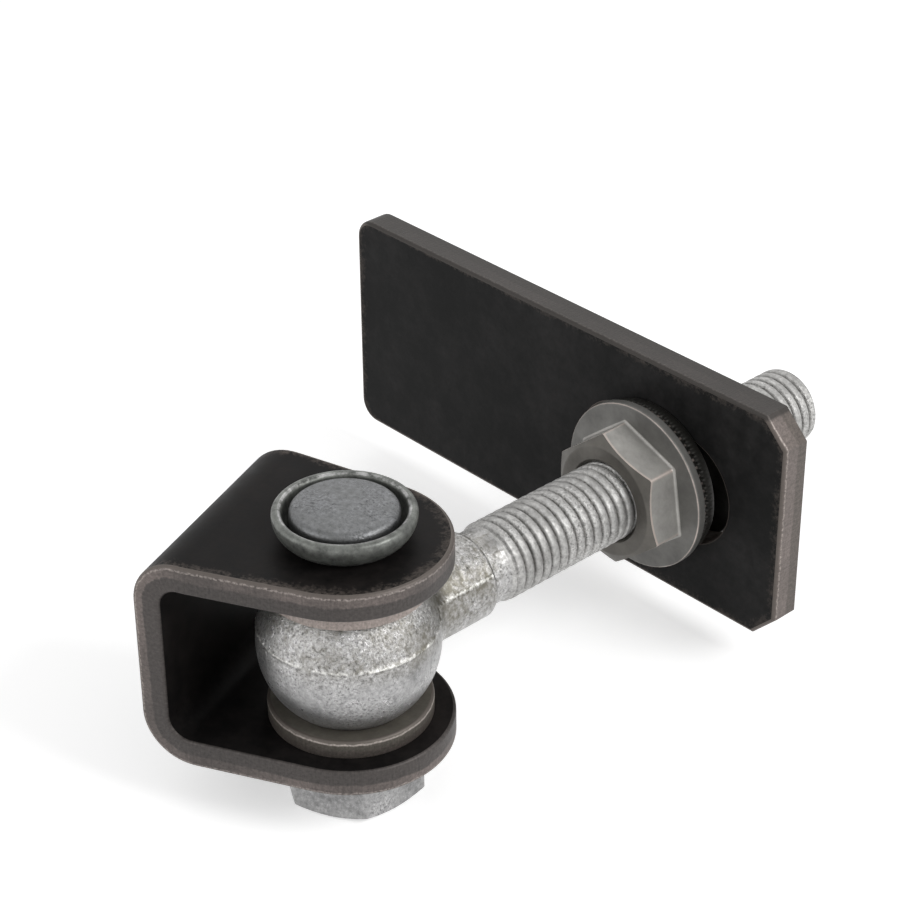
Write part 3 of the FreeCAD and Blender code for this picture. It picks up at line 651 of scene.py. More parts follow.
def cup_patches(sizes):
    """The cup washer: floor, a wall on one circle's arc that stands upright at the rim, and a round lip.

    The outer arc passes from the foot to the rim, so its radius is (flare^2 + rise^2) / (2 flare).
    """
    hole = sizes.pivot_radius + sizes.ear_clearance
    foot = hole + sizes.cup_foot
    rim = foot + sizes.cup_flare
    lip = sizes.cup_high - sizes.cup_wall / 2.0
    bowl = (sizes.cup_flare ** 2 + lip ** 2) / (2.0 * sizes.cup_flare)
    inner = bowl - sizes.cup_wall
    outer_start = math.asin(lip / bowl)
    inner_start = math.asin((lip - sizes.cup_wall) / inner)
    outer_turn = np.linspace(outer_start, 0.0, 13)
    lip_turn = np.linspace(0.0, math.pi, 13)[1:-1]
    inner_turn = np.linspace(0.0, inner_start, 13)
    centre = rim - bowl
    radius = np.concatenate(((hole, foot - GUARD), centre + bowl * np.cos(outer_turn),
                             rim - sizes.cup_wall / 2.0 * (1.0 - np.cos(lip_turn)),
                             centre + inner * np.cos(inner_turn),
                             (centre + inner * math.cos(inner_start) - GUARD, hole, hole)))
    level = np.concatenate(((0.0, 0.0), lip - bowl * np.sin(outer_turn),
                            lip + sizes.cup_wall / 2.0 * np.sin(lip_turn),
                            lip - inner * np.sin(inner_turn),
                            (sizes.cup_wall, sizes.cup_wall, 0.0)))
    # a painted highlight just inside the lip's highest row
    wear_and_highlight = np.zeros_like(radius)
    top = 2 + len(outer_turn) + len(lip_turn) // 2
    wear_and_highlight[top + 1:top + 4] = 0.7
    points = turned(radius[:, None], OUTER_HALF + level[:, None], circle_steps(ROUND_STEPS))
    return [Patch(points, 0, wear_and_highlight[:, None])]


def bevel_rows(reach, width, end, inward, bevel_angle):
    """Radius and level of a bevelled hexagon's end: the cone from its flat disc down to each side.

    At a reach r the cone lies (r - disc) * tan(bevel angle) below the disc.
    """
    disc = BEVEL_DISC * width
    drop = (reach - disc) * math.tan(bevel_angle)
    # narrow first and last strips keep smooth shading off the disc and the sides
    shares = np.array((0.0, 0.04, 0.5, 0.96, 1.0))[:, None]
    return disc + (reach - disc) * shares, end + inward * drop * shares


def pivot_patches(sizes):
    """The pivot from below: bevelled hexagon head, shank, and the riveted end with a crowned top.

    The crown is a shallow parabola, and its rim a quarter circle above and below.
    """
    angles = hexagon_angles(sizes.head_angle, sizes.head_width, sizes.hex_round)
    reach, _off_corner = hexagon_reach(angles, sizes.head_width, sizes.head_angle, sizes.hex_round)
    seat = -OUTER_HALF
    bottom = seat - sizes.head_high
    cone_radius, cone_level = bevel_rows(reach, sizes.head_width, bottom, 1.0, sizes.bevel_angle)
    floor = OUTER_HALF + sizes.cup_wall
    top = floor + sizes.button_high
    edge = sizes.button_radius
    low = np.linspace(-math.pi / 2.0, 0.0, 7)
    high = np.linspace(0.0, math.pi / 2.0, 9)
    button_r = np.concatenate((edge - sizes.button_round + sizes.button_round * np.cos(low),
                               edge - sizes.button_round + sizes.button_round * np.cos(high)))
    button_z = np.concatenate((floor + sizes.button_round * (1.0 + np.sin(low)),
                               top - sizes.button_round * (1.0 - np.sin(high))))
    share = np.linspace(1.0, 0.0, 14)[1:]
    crown_r = (edge - sizes.button_round) * share
    crown_z = top + sizes.button_crown * (1.0 - share ** 2)
    blank = np.zeros_like(angles)
    broken = 0.15 * MM  # the head's broken edge below the ear
    disc_r = BEVEL_DISC * sizes.head_width * np.array((0.0, 0.5, 0.97))[:, None] + blank
    body_r = np.concatenate((reach[None], reach[None], reach[None] - broken,
                             sizes.pivot_radius + np.zeros((2, 1)) + blank))
    body_z = np.array((bottom + 0.5 * sizes.head_high, seat - broken, seat, seat, floor))[:, None] + blank
    radius = np.concatenate((disc_r, cone_radius, body_r, button_r[:, None] + blank,
                             crown_r[:, None] + blank))
    level = np.concatenate((bottom + 0.0 * disc_r, cone_level, body_z, button_z[:, None] + blank,
                            crown_z[:, None] + blank))
    points = turned(radius, level, angles)
    cut = len(disc_r) + len(cone_radius) + len(body_r) - 1
    # the riveted end takes the darker zinc, painted shade on its upward face
    return [Patch(points[:cut + 1], 0), Patch(points[cut:], 1)]


def nut_patches(sizes, seat, outward):
    """A flange nut from its bore's mouth over the flange and up the hexagon to the bevelled top.

    Its three patches are the flange, the flanks, and the bevel with the end face.
    outward is the sign of the way from the seat to the top along the bolt.
    """
    angles = hexagon_angles(sizes.nut_angle, sizes.nut_width, sizes.hex_round)
    reach, off_corner = hexagon_reach(angles, sizes.nut_width, sizes.nut_angle, sizes.hex_round)
    blank = np.zeros_like(angles)
    mouth = sizes.nut_bore + sizes.mouth_bevel
    flange = sizes.flange_radius
    # a point on the flange's slope, a quarter of the way in from the rim and a tenth of the way up
    slope = (0.75 * flange + 0.25 * sizes.nut_width / 2.0,
             sizes.flange_rim * 0.9 + sizes.flange_root * 0.1)
    corners = [(sizes.nut_bore, sizes.mouth_bevel), (mouth, 0.0), (flange, 0.0),
               (flange, sizes.flange_rim), slope]
    mouth_round, foot_round, rim_round = 0.1 * MM, 0.3 * MM, 0.5 * MM
    low = rounded(corners, (mouth_round, foot_round, rim_round))
    fillet = 0.6 * MM  # hollow between flange and hexagon
    bend = np.linspace(0.0, math.pi / 2.0, 6)[:, None]
    root_r = reach + fillet * (1.0 - np.sin(bend))
    root_z = sizes.flange_root + fillet * (1.0 - np.cos(bend)) + blank
    cone_r, cone_z = bevel_rows(reach, sizes.nut_width, sizes.nut_high, -1.0, sizes.bevel_angle)
    # the bevel's bright line, a painted highlight partly wear, fades out between these depths below it
    line_low, line_high = 5.5 * GUARD, 3.5 * GUARD
    side_r = np.stack((reach, reach, reach))
    side_z = np.stack((root_z[-1] + GUARD, cone_z[-1] - line_low, cone_z[-1] - line_high))
    high = sizes.nut_high
    bore = sizes.nut_bore
    face_rim = 0.96 * BEVEL_DISC * sizes.nut_width
    top_r = np.array((face_rim, mouth + GUARD, mouth, bore, bore))[:, None] + blank
    top_z = np.array((high, high, high, high - sizes.mouth_bevel, sizes.mouth_bevel))[:, None] + blank
    radius = np.concatenate((low[:, :1] + blank, root_r, side_r, cone_r[::-1], top_r))
    level = np.concatenate((low[:, 1:] + blank, root_z, side_z, cone_z[::-1], top_z))
    wear_and_highlight = np.zeros_like(radius)
    # bright lines at the hexagon's corners, along the bevel's edge and round the flange's rim: painted
    # highlights, partly wear
    edge_highlight_and_wear = 0.8
    bevel_highlight_and_wear = 0.85
    rub_width = 0.7 * MM  # how far a corner's bright line reaches on each side
    corner = np.exp(-(off_corner * reach / rub_width) ** 2)
    first = len(low)
    arc = first + len(root_r) + len(side_r)
    wear_and_highlight[first + 4:arc + 1] = edge_highlight_and_wear * corner
    wear_and_highlight[arc - 1:arc + 1] = bevel_highlight_and_wear
    # the middle of the rim's rounding is as far in as it is down
    rim_in = flange - low[:, 0]
    rim_down = sizes.flange_rim - low[:, 1]
    line_width, rim_reach = 0.2 * MM, 0.4 * MM
    on_rim = (np.abs(rim_in - rim_down) < line_width) & (rim_in < rim_reach)
    # painted highlight, partly wear, along the middle of the flange rim's rounding
    wear_and_highlight[:first] = np.where(on_rim, edge_highlight_and_wear, 0.0)[:, None]
    points = turned(radius, seat + outward * level, angles, axis="x")
    ends = ((0, first, 1), (first, arc, 0), (arc, len(points) - 1, 2))
    return [Patch(points[start:end + 1], finish, wear_and_highlight[start:end + 1]) for start, end, finish in ends]


def lock_patches(sizes, nut_side, inward):
    """A serrated washer: near the nut its rim's radius falls into a notch tooth_count times round.

    inward is the sign of the way from the nut's side into the washer along the bolt.
    """
    per_tooth = 8  # points round each tooth
    thick = sizes.lock_thick - SLIDE_GAP
    angles = circle_steps(sizes.tooth_count * per_tooth)
    wave = np.abs((angles / FULL_TURN * sizes.tooth_count) % 1.0 - 0.5) * 2.0
    # a crest over about a third of each tooth, then a straight flank almost to the notch's middle
    notch = sizes.tooth_deep * np.clip(1.6 * (1.0 - wave) - 0.5, 0.0, 1.0)
    rim = sizes.lock_radius
    tooth = sizes.tooth_long
    # the rim's rows from the nut's side: share of the notch, rounding, and place along the bolt
    deep = np.array((1.0, 1.0, 1.0, 1.0, 0.85, 0.0, 0.0, 0.0, 0.0))[:, None]
    edge = np.array((0.25, 0.05, 0.0, 0.0, 0.0, 0.0, 0.0, 0.15, 0.4))[:, None] * MM
    along = np.array((0.0, 0.05 * MM, 0.25 * MM, tooth * 0.6, tooth * 0.9, tooth,
                      thick - 0.4 * MM, thick - 0.15 * MM, thick))[:, None]
    blank = np.zeros_like(angles)[None]
    face_guard = rim - 1.2 * MM + blank  # ring inside the notches, where the face stays flat
    hole = sizes.lock_hole + blank
    radius = np.concatenate((hole, face_guard, rim - edge - deep * notch, hole, hole, hole))
    level = np.concatenate((blank, blank, along + blank, thick + blank, 0.5 * thick + blank, blank))
    wear_and_highlight = np.zeros_like(radius)
    tip_wear = 0.62
    wear_and_highlight[3:6] = tip_wear * (1.0 - notch / sizes.tooth_deep) ** 2
    return [Patch(turned(radius, nut_side + inward * level, angles, axis="x"), 0, wear_and_highlight)]


def eye_patches(sizes):
    """The eye: the ball between its flats, turned about the bore, with flash where the dies met.

    The flash is a low bell-shaped ridge round the ball at the flash's level, whose height drifts by slow
    and quick waves round the ball.
    """
    angles = circle_steps(EYE_STEPS)
    ball = sizes.ball_radius
    high = sizes.eye_high / 2.0
    shoulder = math.sqrt(ball ** 2 - high ** 2)
    steep = math.asin(high / ball)
    ridge = 0.06  # half the angle over which rows are close together for the flash
    up = np.linspace(-ridge, ridge, 15)
    seam = math.asin(sizes.flash_level / ball)
    below = np.linspace(-steep, seam - ridge, 26)[:-1]
    above = np.linspace(seam + ridge, steep, 18)[1:]
    latitude = np.concatenate((below, seam + up, above))
    drift = 0.9 + 0.35 * np.sin(3.0 * angles + 1.0) * np.sin(7.0 * angles + 2.0)
    drift += 0.25 * np.sin(31.0 * angles) * np.sin(47.0 * angles + 1.0)
    bell = np.exp(-(ball * (latitude - seam) / (sizes.flash_thick / 2.0)) ** 2)[:, None]
    skin = ball + sizes.flash_high * bell * drift
    ball_r = skin * np.cos(latitude)[:, None]
    ball_z = skin * np.sin(latitude)[:, None]
    bevel = 0.4 * MM  # at the bore's mouths
    flat = np.array((sizes.eye_bore, sizes.eye_bore + bevel, shoulder - GUARD))
    flat_r = flat[:, None] + 0.0 * angles
    flat_z = np.full_like(flat_r, high)
    flat_z[0] -= bevel
    radius = np.concatenate((flat_r, ball_r, flat_r[::-1], flat_r[:1]))
    level = np.concatenate((-flat_z, ball_z, flat_z[::-1], -flat_z[:1]))
    # rough skin above the flash, calmer below, and on the flash itself a mark above rough that paints a
    # highlight along it
    rough = np.clip(level / sizes.flash_level, 0.0, 1.0)
    rough[len(flat_r):len(flat_r) + len(ball_r)] += FLASH_HIGHLIGHT * bell * drift
    return [Patch(turned(radius, level, angles), 0, rough)]


def stem_patches(sizes):
    """Neck and shank in one patch, thread and end in the next: rows along the bolt, angles round it.

    Neck and shank are a turned profile with a bell-shaped ridge of flash on both sides.  The thread's
    rows climb one pitch with each turn of the angle, so each row follows one line of the helix: its
    radius is the crest's less the depth times a share worked out from the sine of half its phase.  Nine
    tenths of that share is the sine to a high power and one tenth its square, which leaves wide crests
    and narrow roots, as a thread has that was dipped in zinc.
    """
    ball, neck, blend = sizes.ball_radius, sizes.neck_radius, sizes.neck_blend
    seam = math.asin(sizes.flash_level / neck)
    flash_reach = 0.12  # half the angle over which columns are close together for the flash
    beside = np.linspace(-flash_reach, flash_reach, 11)
    angles = np.sort(np.concatenate((circle_steps(STEM_STEPS), seam + beside, math.pi - seam + beside)))
    centre_x = math.sqrt((ball + blend) ** 2 - (neck + blend) ** 2)
    turn = np.linspace(math.pi + math.atan2(neck + blend, centre_x), 1.5 * math.pi, 16)
    hollow = np.stack((neck + blend + blend * np.sin(turn), centre_x + blend * np.cos(turn)), axis=-1)
    shank = sizes.shank_radius
    corners = [(neck, centre_x), (neck, sizes.neck_end), (shank, sizes.neck_end),
               (shank, sizes.thread_start)]
    foot_round = 0.35 * MM  # hollow at the foot of the shoulder
    shoulder = rounded(corners, (sizes.shoulder_round, foot_round), 6)
    hidden = 0.55 * ball  # the neck starts this far out, inside the ball
    start = np.array(((0.0, hidden), (0.5 * neck, hidden)))
    profile = np.concatenate((start, hollow, shoulder[1:]))
    plain_r = np.tile(profile[:, :1], (1, len(angles)))
    plain_x = np.tile(profile[:, 1:], (1, len(angles)))
    neck_last = sizes.neck_end - sizes.shoulder_round + GUARD
    on_neck = (profile[:, 1] > hollow[0, 1] - GUARD) & (profile[:, 1] < neck_last)
    bell = np.exp(-((neck * np.sin(angles) - sizes.flash_level) / (sizes.flash_thick / 2.0)) ** 2)
    flash = np.where(on_neck, 1.0, 0.0)[:, None] * bell
    plain_r += flash * sizes.flash_high * (0.75 + 0.25 * np.sin(plain_x * FLASH_WAVE))

    pitch = sizes.thread_pitch
    # rows are closest together at the root, half a turn in
    spread = np.arange(THREAD_ROWS) / THREAD_ROWS - 0.5
    phases = 0.5 + spread * (0.4 + 2.4 * spread ** 2)
    wave = np.sin(math.pi * phases)
    root_power = 24  # the higher, the narrower the roots
    down = 0.9 * wave ** root_power + 0.1 * wave ** 2
    turns = int((sizes.bolt_reach - sizes.thread_start) / pitch) + 3
    climb = (np.arange(turns)[:, None] + phases[None]).reshape(-1) - 1.5
    deep = np.tile(down, turns)
    helix = sizes.thread_start + pitch * (climb[:, None] + angles[None] / FULL_TURN)
    thread_x = np.clip(helix, sizes.thread_start, sizes.bolt_reach)
    run_in_turns = 1.2  # turns in which the thread reaches its depth
    crest_slope = 0.5  # rise of the first crests from the shank
    run_in = np.clip((thread_x - sizes.thread_start) / (run_in_turns * pitch), 0.0, 1.0)
    crest = np.minimum(sizes.thread_radius, shank + (thread_x - sizes.thread_start) * crest_slope)
    cut = crest - sizes.thread_depth * deep[:, None] * run_in
    under_crest = 0.1 * MM  # the end's bevel starts this far under the crests
    tip_radius = sizes.thread_radius - sizes.end_bevel - under_crest
    thread_r = np.minimum(cut, tip_radius + (sizes.bolt_reach - thread_x))
    thread_r = np.where(thread_x >= sizes.bolt_reach, tip_radius, thread_r)
    end_r = tip_radius * np.array((0.985, 0.5, 0.0))[:, None] + 0.0 * angles
    end_x = np.full_like(end_r, sizes.bolt_reach)
    radius = np.concatenate((plain_r, thread_r, end_r))
    level = np.concatenate((plain_x, thread_x, end_x))
    # the flash along the neck is marked above rough skin too, which paints a highlight along it
    plain_rough = 1.0 + FLASH_HIGHLIGHT * flash
    # the roots' mark above 1 paints them lighter than their shade leaves them: painted light, partly the
    # zinc filling them
    crest_skin, root_painted_light = 0.3, 1.6  # marks of the smooth crests, and of the roots above them
    thread_rough = crest_skin + root_painted_light * deep[:, None] * run_in
    rough = np.concatenate((plain_rough, thread_rough, 0.0 * end_r))
    points = turned(radius, level, angles, axis="x")
    plain = len(plain_r)
    return [Patch(points[:plain + 1], 0, rough[:plain + 1]), Patch(points[plain:], 1, rough[plain:])]


def add(tree, kind, links=None, **settings):
    """Add a node with its settings; each named input takes a node's first output, a socket or a value."""
    node = tree.nodes.new(f"ShaderNode{kind}")
    for name, setting in settings.items():
        setattr(node, name, setting)
    for name, source in (links or {}).items():
        if isinstance(source, bpy.types.Node):
            source = next(output for output in source.outputs if output.enabled)
        if isinstance(source, bpy.types.NodeSocket):
            tree.links.new(source, node.inputs[name])
        else:
            node.inputs[name].default_value = source
    return node


def new_finish(name):
    """An empty node material, its tree and its Object coordinates."""
    finish = bpy.data.materials.new(name)
    finish.use_nodes = True
    tree = finish.node_tree
    tree.nodes.clear()
    return finish, tree, add(tree, "TexCoord").outputs["Object"]


def rolled_steel(name, dark, light, bare_steel):
    """Hot-rolled mild steel: a thin dark oxide skin from the mill, satin, with cloudy rubbed places.

    It gives a near-black face with faint grey reflections, browner and duller where it was handled,
    and speckled bare steel where an edge wore through.
    """
    finish, tree, place = new_finish(name)
    cloud = add(tree, "TexNoise", {"Vector": place, "Scale": PER_MM / 26.0, "Detail": 5.0,
                                   "Roughness": 0.6})
    scuff = add(tree, "TexNoise", {"Vector": place, "Scale": PER_MM / 4.0, "Detail": 7.0,
                                   "Roughness": 0.72})
    grain = add(tree, "TexNoise", {"Vector": place, "Scale": PER_MM / 0.9, "Detail": 4.0,
                                   "Roughness": 0.7})
    patchy = add(tree, "Math", {0: cloud, 1: scuff}, operation="MULTIPLY")
    rubbed = add(tree, "MapRange", {"Value": patchy, "From Min": 0.18, "From Max": 0.38})
    tone = add(tree, "Mix", {"Factor": rubbed, "A": dark, "B": light}, data_type="RGBA")
    edge = add(tree, "Attribute", attribute_name="wear_and_highlight")
    speckle = add(tree, "Math", {0: scuff, 1: grain}, operation="ADD")
    coarse = add(tree, "Math", {0: speckle, 1: 2.2, 2: -1.2}, operation="MULTIPLY_ADD")
    chipped = add(tree, "Math", {0: edge.outputs["Fac"], 1: coarse}, operation="MULTIPLY")
    bare = add(tree, "MapRange", {"Value": chipped, "From Min": 0.62, "From Max": 1.3, "To Max": 0.75})
    shade = add(tree, "Mix", {"Factor": bare, "A": tone, "B": bare_steel}, data_type="RGBA")
    sheen = add(tree, "MapRange", {"Value": scuff, "From Min": 0.3, "From Max": 0.7, "To Min": 0.4,
                                   "To Max": 0.56})
    bump = add(tree, "Bump", {"Height": speckle, "Strength": 0.25, "Distance": 0.06 * MM})
    steel = add(tree, "BsdfPrincipled", {"Base Color": shade, "Roughness": sheen,
                                         "Specular IOR Level": 0.06, "Normal": bump})
    add(tree, "OutputMaterial", {"Surface": steel})
    return finish


def shaded_strip_scale(colours):
    """Mill scale on the bracket's strip: near black, darker than the plate's as painted shade on the
    ears' upward faces.
    """
    return rolled_steel("mill scale on steel strip, darkened as painted shade", colours.scale_dark, colours.scale_light,
                        colours.scale_bare)


def lit_plate_scale(colours):
    """Mill scale on the weld plate: greyer than the strip's, as painted light on its front face."""
    return rolled_steel("mill scale on steel plate, lightened as painted light", colours.plate_dark, colours.plate_light,
                        colours.scale_bare)


def cut_edge(name, colours, front, back, line_mm, shade_from_level=None, burr_highlight_line=(0.0, 0.45)):
    """Cut edge of thick steel: one band to line_mm behind the front face, another behind a ragged line.

    The punch burnishes one band smooth and the metal tears in the other, so the edge shows two greys,
    fine scores across the thickness, dark specks, and a thin bright line beside the rolled corner that
    is a burr with a painted highlight.
    Further from the level middle than the given height it darkens: painted shade on the plate's top
    and bottom sides, partly their rolled scale.
    The two numbers of the burr line say how bright the burr and its painted highlight are where faintest
    and strongest.
    """
    finish, tree, place = new_finish(name)
    surface = add(tree, "TexCoord").outputs["UV"]
    part = add(tree, "SeparateXYZ", {"Vector": surface})
    long_way = add(tree, "Mapping", {"Vector": surface, "Scale": (PER_MM / 22.0, PER_MM / 40.0, 1.0)})
    drift = add(tree, "TexNoise", {"Vector": long_way, "Scale": 1.0, "Detail": 2.0})
    stretch = add(tree, "Mapping", {"Vector": surface, "Scale": (PER_MM / 1.6, PER_MM / 4.0, 1.0)})
    ragged = add(tree, "TexNoise", {"Vector": stretch, "Scale": 1.0, "Detail": 5.0, "Roughness": 0.65})
    fine = add(tree, "Mapping", {"Vector": surface, "Scale": (PER_MM / 0.4, PER_MM / 5.0, 1.0)})
    scores = add(tree, "TexNoise", {"Vector": fine, "Scale": 1.0, "Detail": 3.0})
    crumb = add(tree, "TexNoise", {"Vector": surface, "Scale": PER_MM / 0.7, "Detail": 4.0,
                                   "Roughness": 0.7})
    # half of the noises' reaches, 1.2 and 0.6 mm, is taken off, so that the line lies about line_mm in
    wander = add(tree, "Math", {0: drift, 1: 2.4 * MM, 2: (line_mm - 1.8) * MM}, operation="MULTIPLY_ADD")
    line = add(tree, "Math", {0: ragged, 1: 1.2 * MM, 2: wander}, operation="MULTIPLY_ADD")
    past = add(tree, "Math", {0: part.outputs["Y"], 1: line}, operation="SUBTRACT")
    behind = add(tree, "MapRange", {"Value": past, "From Min": -0.2 * MM, "From Max": 0.3 * MM,
                                    "To Max": 0.9}, interpolation_type="SMOOTHSTEP")
    patchy = add(tree, "MapRange", {"Value": drift, "From Min": 0.4, "From Max": 0.6, "To Min": 0.15,
                                    "To Max": 0.75})
    lead = add(tree, "Mix", {"Factor": patchy, "A": front, "B": back}, data_type="RGBA")
    band = add(tree, "Mix", {"Factor": behind, "A": lead, "B": back}, data_type="RGBA")
    speck = add(tree, "MapRange", {"Value": crumb, "From Min": 0.32, "From Max": 0.68, "To Min": 0.6,
                                   "To Max": 1.15})
    streak = add(tree, "MapRange", {"Value": scores, "From Min": 0.3, "From Max": 0.7, "To Min": 0.86,
                                    "To Max": 1.1})
    depth = add(tree, "Math", {0: speck, 1: streak}, operation="MULTIPLY")
    worked = add(tree, "VectorMath", {0: band, "Scale": depth}, operation="SCALE")
    rolled = add(tree, "MapRange", {"Value": part.outputs["Y"], "From Min": 0.15 * MM,
                                    "From Max": 0.75 * MM, "To Min": 0.85, "To Max": 0.0})
    corner = add(tree, "Mix", {"Factor": rolled, "A": worked, "B": colours.scale_bare}, data_type="RGBA")
    # a thin bright line near the front corner: a burr with a painted highlight where the rounding meets
    # the light
    bent = add(tree, "Math", {0: ragged, 1: 0.7 * MM, 2: 0.35 * MM}, operation="MULTIPLY_ADD")
    apart = add(tree, "Math", {0: part.outputs["Y"], 1: bent}, operation="SUBTRACT")
    apart = add(tree, "Math", {0: apart}, operation="ABSOLUTE")
    beside = add(tree, "MapRange", {"Value": apart, "From Min": 0.1 * MM, "From Max": 0.28 * MM,
                                    "To Min": 1.0, "To Max": 0.0})
    broken = add(tree, "MapRange", {"Value": crumb, "From Min": 0.4, "From Max": 0.6,
                                    "To Min": burr_highlight_line[0], "To Max": burr_highlight_line[1]})
    burr = add(tree, "Math", {0: beside, 1: broken}, operation="MULTIPLY")
    shade = add(tree, "Mix", {"Factor": burr, "A": corner, "B": colours.burr_and_highlight}, data_type="RGBA")
    # painted shade on the plate's top and bottom sides, darker by height, partly their rolled scale
    if shade_from_level is not None:
        height = add(tree, "SeparateXYZ", {"Vector": place})
        away = add(tree, "Math", {0: height.outputs["Z"]}, operation="ABSOLUTE")
        side = add(tree, "MapRange", {"Value": away, "From Min": shade_from_level,
                                      "From Max": shade_from_level + 0.6 * MM, "To Max": 0.8})
        shade = add(tree, "Mix", {"Factor": side, "A": shade, "B": colours.long_side_shade}, data_type="RGBA")
    relief = add(tree, "Math", {0: crumb, 1: scores}, operation="ADD")
    bump = add(tree, "Bump", {"Height": relief, "Strength": 0.45, "Distance": 0.12 * MM})
    steel = add(tree, "BsdfPrincipled", {"Base Color": shade, "Roughness": 0.5, "Metallic": 0.5,
                                         "Normal": bump})
    add(tree, "OutputMaterial", {"Surface": steel})
    return finish


def strip_edge(colours):
    """Edge of the bracket's strip: a pinkish burnished band outside, a dull torn one inside."""
    return cut_edge("sheared edge of steel strip", colours, colours.shear_bright, colours.shear_dull, 2.6)


def plate_edge(colours):
    """Edge of the weld plate: a broad burnished band in front, a duller torn one behind."""
    # the height passed last is where the painted shade on the plate's top and bottom sides begins
    return cut_edge("sheared edge of steel plate", colours, colours.shear_bright, colours.scale_bare, 3.9,
                    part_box("weld_plate")[1][2] - 1.2 * MM)


def bright_rim(colours):
    """Rim of the upper washer: freshly punched, pale and a little pink."""
    return cut_edge("fresh punched rim of a steel washer", colours, colours.rim_bright,
                    colours.rim_bright, 2.2)


def washer_edge(colours):
    """Rim of the lower washer: dark punched steel with a brighter line at the burr, partly a painted
    highlight.
    """
    return cut_edge("punched rim of a steel washer", colours, colours.washer_grey, colours.scale_bare,
                    2.2, burr_highlight_line=(0.35, 0.9))


def dipped_zinc(name, light, dark, olive, bright, roughness=0.32):
    """Hot-dip zinc: a thick coat that froze in flakes and grains over a rough forged skin.

    It gives a grey with soft mottling about a millimetre across, a fine sparkle from the grain, dark
    pinholes, olive stains on rough skin, and calmer places where the zinc ran smooth.  The per-point
    mark of wear and highlights picks out the rougher skin, and above 1 it paints a highlight along the
    thin edge of the flash, partly rubbed zinc, and light into the thread's filled roots against their
    shade.
    """
    finish, tree, place = new_finish(name)
    flake = add(tree, "TexNoise", {"Vector": place, "Scale": PER_MM / 1.2, "Detail": 6.0,
                                   "Roughness": 0.72})
    cloud = add(tree, "TexNoise", {"Vector": place, "Scale": PER_MM / 11.0, "Detail": 2.0})
    grain = add(tree, "TexNoise", {"Vector": place, "Scale": PER_MM / 0.55, "Detail": 3.0,
                                   "Roughness": 0.7})
    mixed = add(tree, "Math", {0: flake, 1: 1.3, 2: cloud}, operation="MULTIPLY_ADD")
    skin = add(tree, "Attribute", attribute_name="wear_and_highlight")
    swing = add(tree, "Math", {0: skin.outputs["Fac"], 1: 0.4, 2: 1.4}, operation="MULTIPLY_ADD")
    centred = add(tree, "Math", {0: mixed, 1: 1.15}, operation="SUBTRACT")
    mottle = add(tree, "Math", {0: centred, 1: swing, 2: 0.5}, operation="MULTIPLY_ADD", use_clamp=True)
    low = add(tree, "Mix", {"Factor": skin.outputs["Fac"], "A": dark, "B": olive}, data_type="RGBA")
    coat = add(tree, "Mix", {"Factor": mottle, "A": low, "B": light}, data_type="RGBA")
    lifted = add(tree, "Math", {0: skin.outputs["Fac"], 1: 0.14, 2: cloud}, operation="MULTIPLY_ADD")
    rough = add(tree, "MapRange", {"Value": lifted, "From Min": 0.46, "From Max": 0.6, "To Min": 0.2,
                                   "To Max": 1.0})
    pit = add(tree, "MapRange", {"Value": grain, "From Min": 0.3, "From Max": 0.5, "To Min": 0.3,
                                 "To Max": 1.0})
    fleck = add(tree, "MapRange", {"Value": grain, "From Min": 0.58, "From Max": 0.7, "To Max": 0.5})
    change = add(tree, "Math", {0: pit, 1: fleck}, operation="ADD")
    change = add(tree, "Math", {0: change, 1: 1.0}, operation="SUBTRACT")
    spotted = add(tree, "Math", {0: change, 1: rough, 2: 1.0}, operation="MULTIPLY_ADD")
    shade = add(tree, "VectorMath", {0: coat, "Scale": spotted}, operation="SCALE")
    # where the mark is high the zinc turns to the bright colour: painted highlight on the flash, painted
    # light in the roots
    thin = add(tree, "Math", {0: skin.outputs["Fac"], 1: flake}, operation="MULTIPLY")
    shine = add(tree, "MapRange", {"Value": thin, "From Min": 0.64, "From Max": 0.95, "To Max": 0.8})
    shade = add(tree, "Mix", {"Factor": shine, "A": shade, "B": bright}, data_type="RGBA")
    dull = add(tree, "MapRange", {"Value": flake, "From Min": 0.3, "From Max": 0.7,
                                  "To Min": roughness + 0.09, "To Max": roughness - 0.09})
    dents = add(tree, "Bump", {"Height": flake, "Strength": 0.4, "Distance": 0.3 * MM})
    sparkle = add(tree, "Math", {0: grain, 1: rough}, operation="MULTIPLY")
    bump = add(tree, "Bump", {"Height": sparkle, "Strength": 0.8, "Distance": 0.25 * MM, "Normal": dents})
    zinc = add(tree, "BsdfPrincipled", {"Base Color": shade, "Roughness": dull, "Metallic": 0.8,
                                        "Normal": bump})
    add(tree, "OutputMaterial", {"Surface": zinc})
    return finish


def eye_zinc(colours):
    """Zinc on the forged eye bolt: pale grey."""
    return dipped_zinc("hot-dip zinc on forged steel", colours.zinc_light, colours.zinc_dark,
                       colours.zinc_olive, colours.zinc_painted_light)


def thread_zinc(colours):
    """Zinc on the rolled thread: paler and more matt than on the forging, with its roots painted lighter
    against their shade.
    """
    return dipped_zinc("hot-dip zinc on rolled thread", colours.thread_light, colours.thread_dark,
                       colours.thread_dark, colours.zinc_painted_light, 0.5)


def shaded_button_zinc(colours):
    """Zinc on the pivot's riveted end: mid grey, darker than the head's as painted shade on its upward
    face.
    """
    return dipped_zinc("hot-dip zinc on the riveted end, darkened as painted shade", colours.button_shade_light, colours.button_shade_dark,
                       colours.button_shade_dark, colours.zinc_painted_light, 0.39)


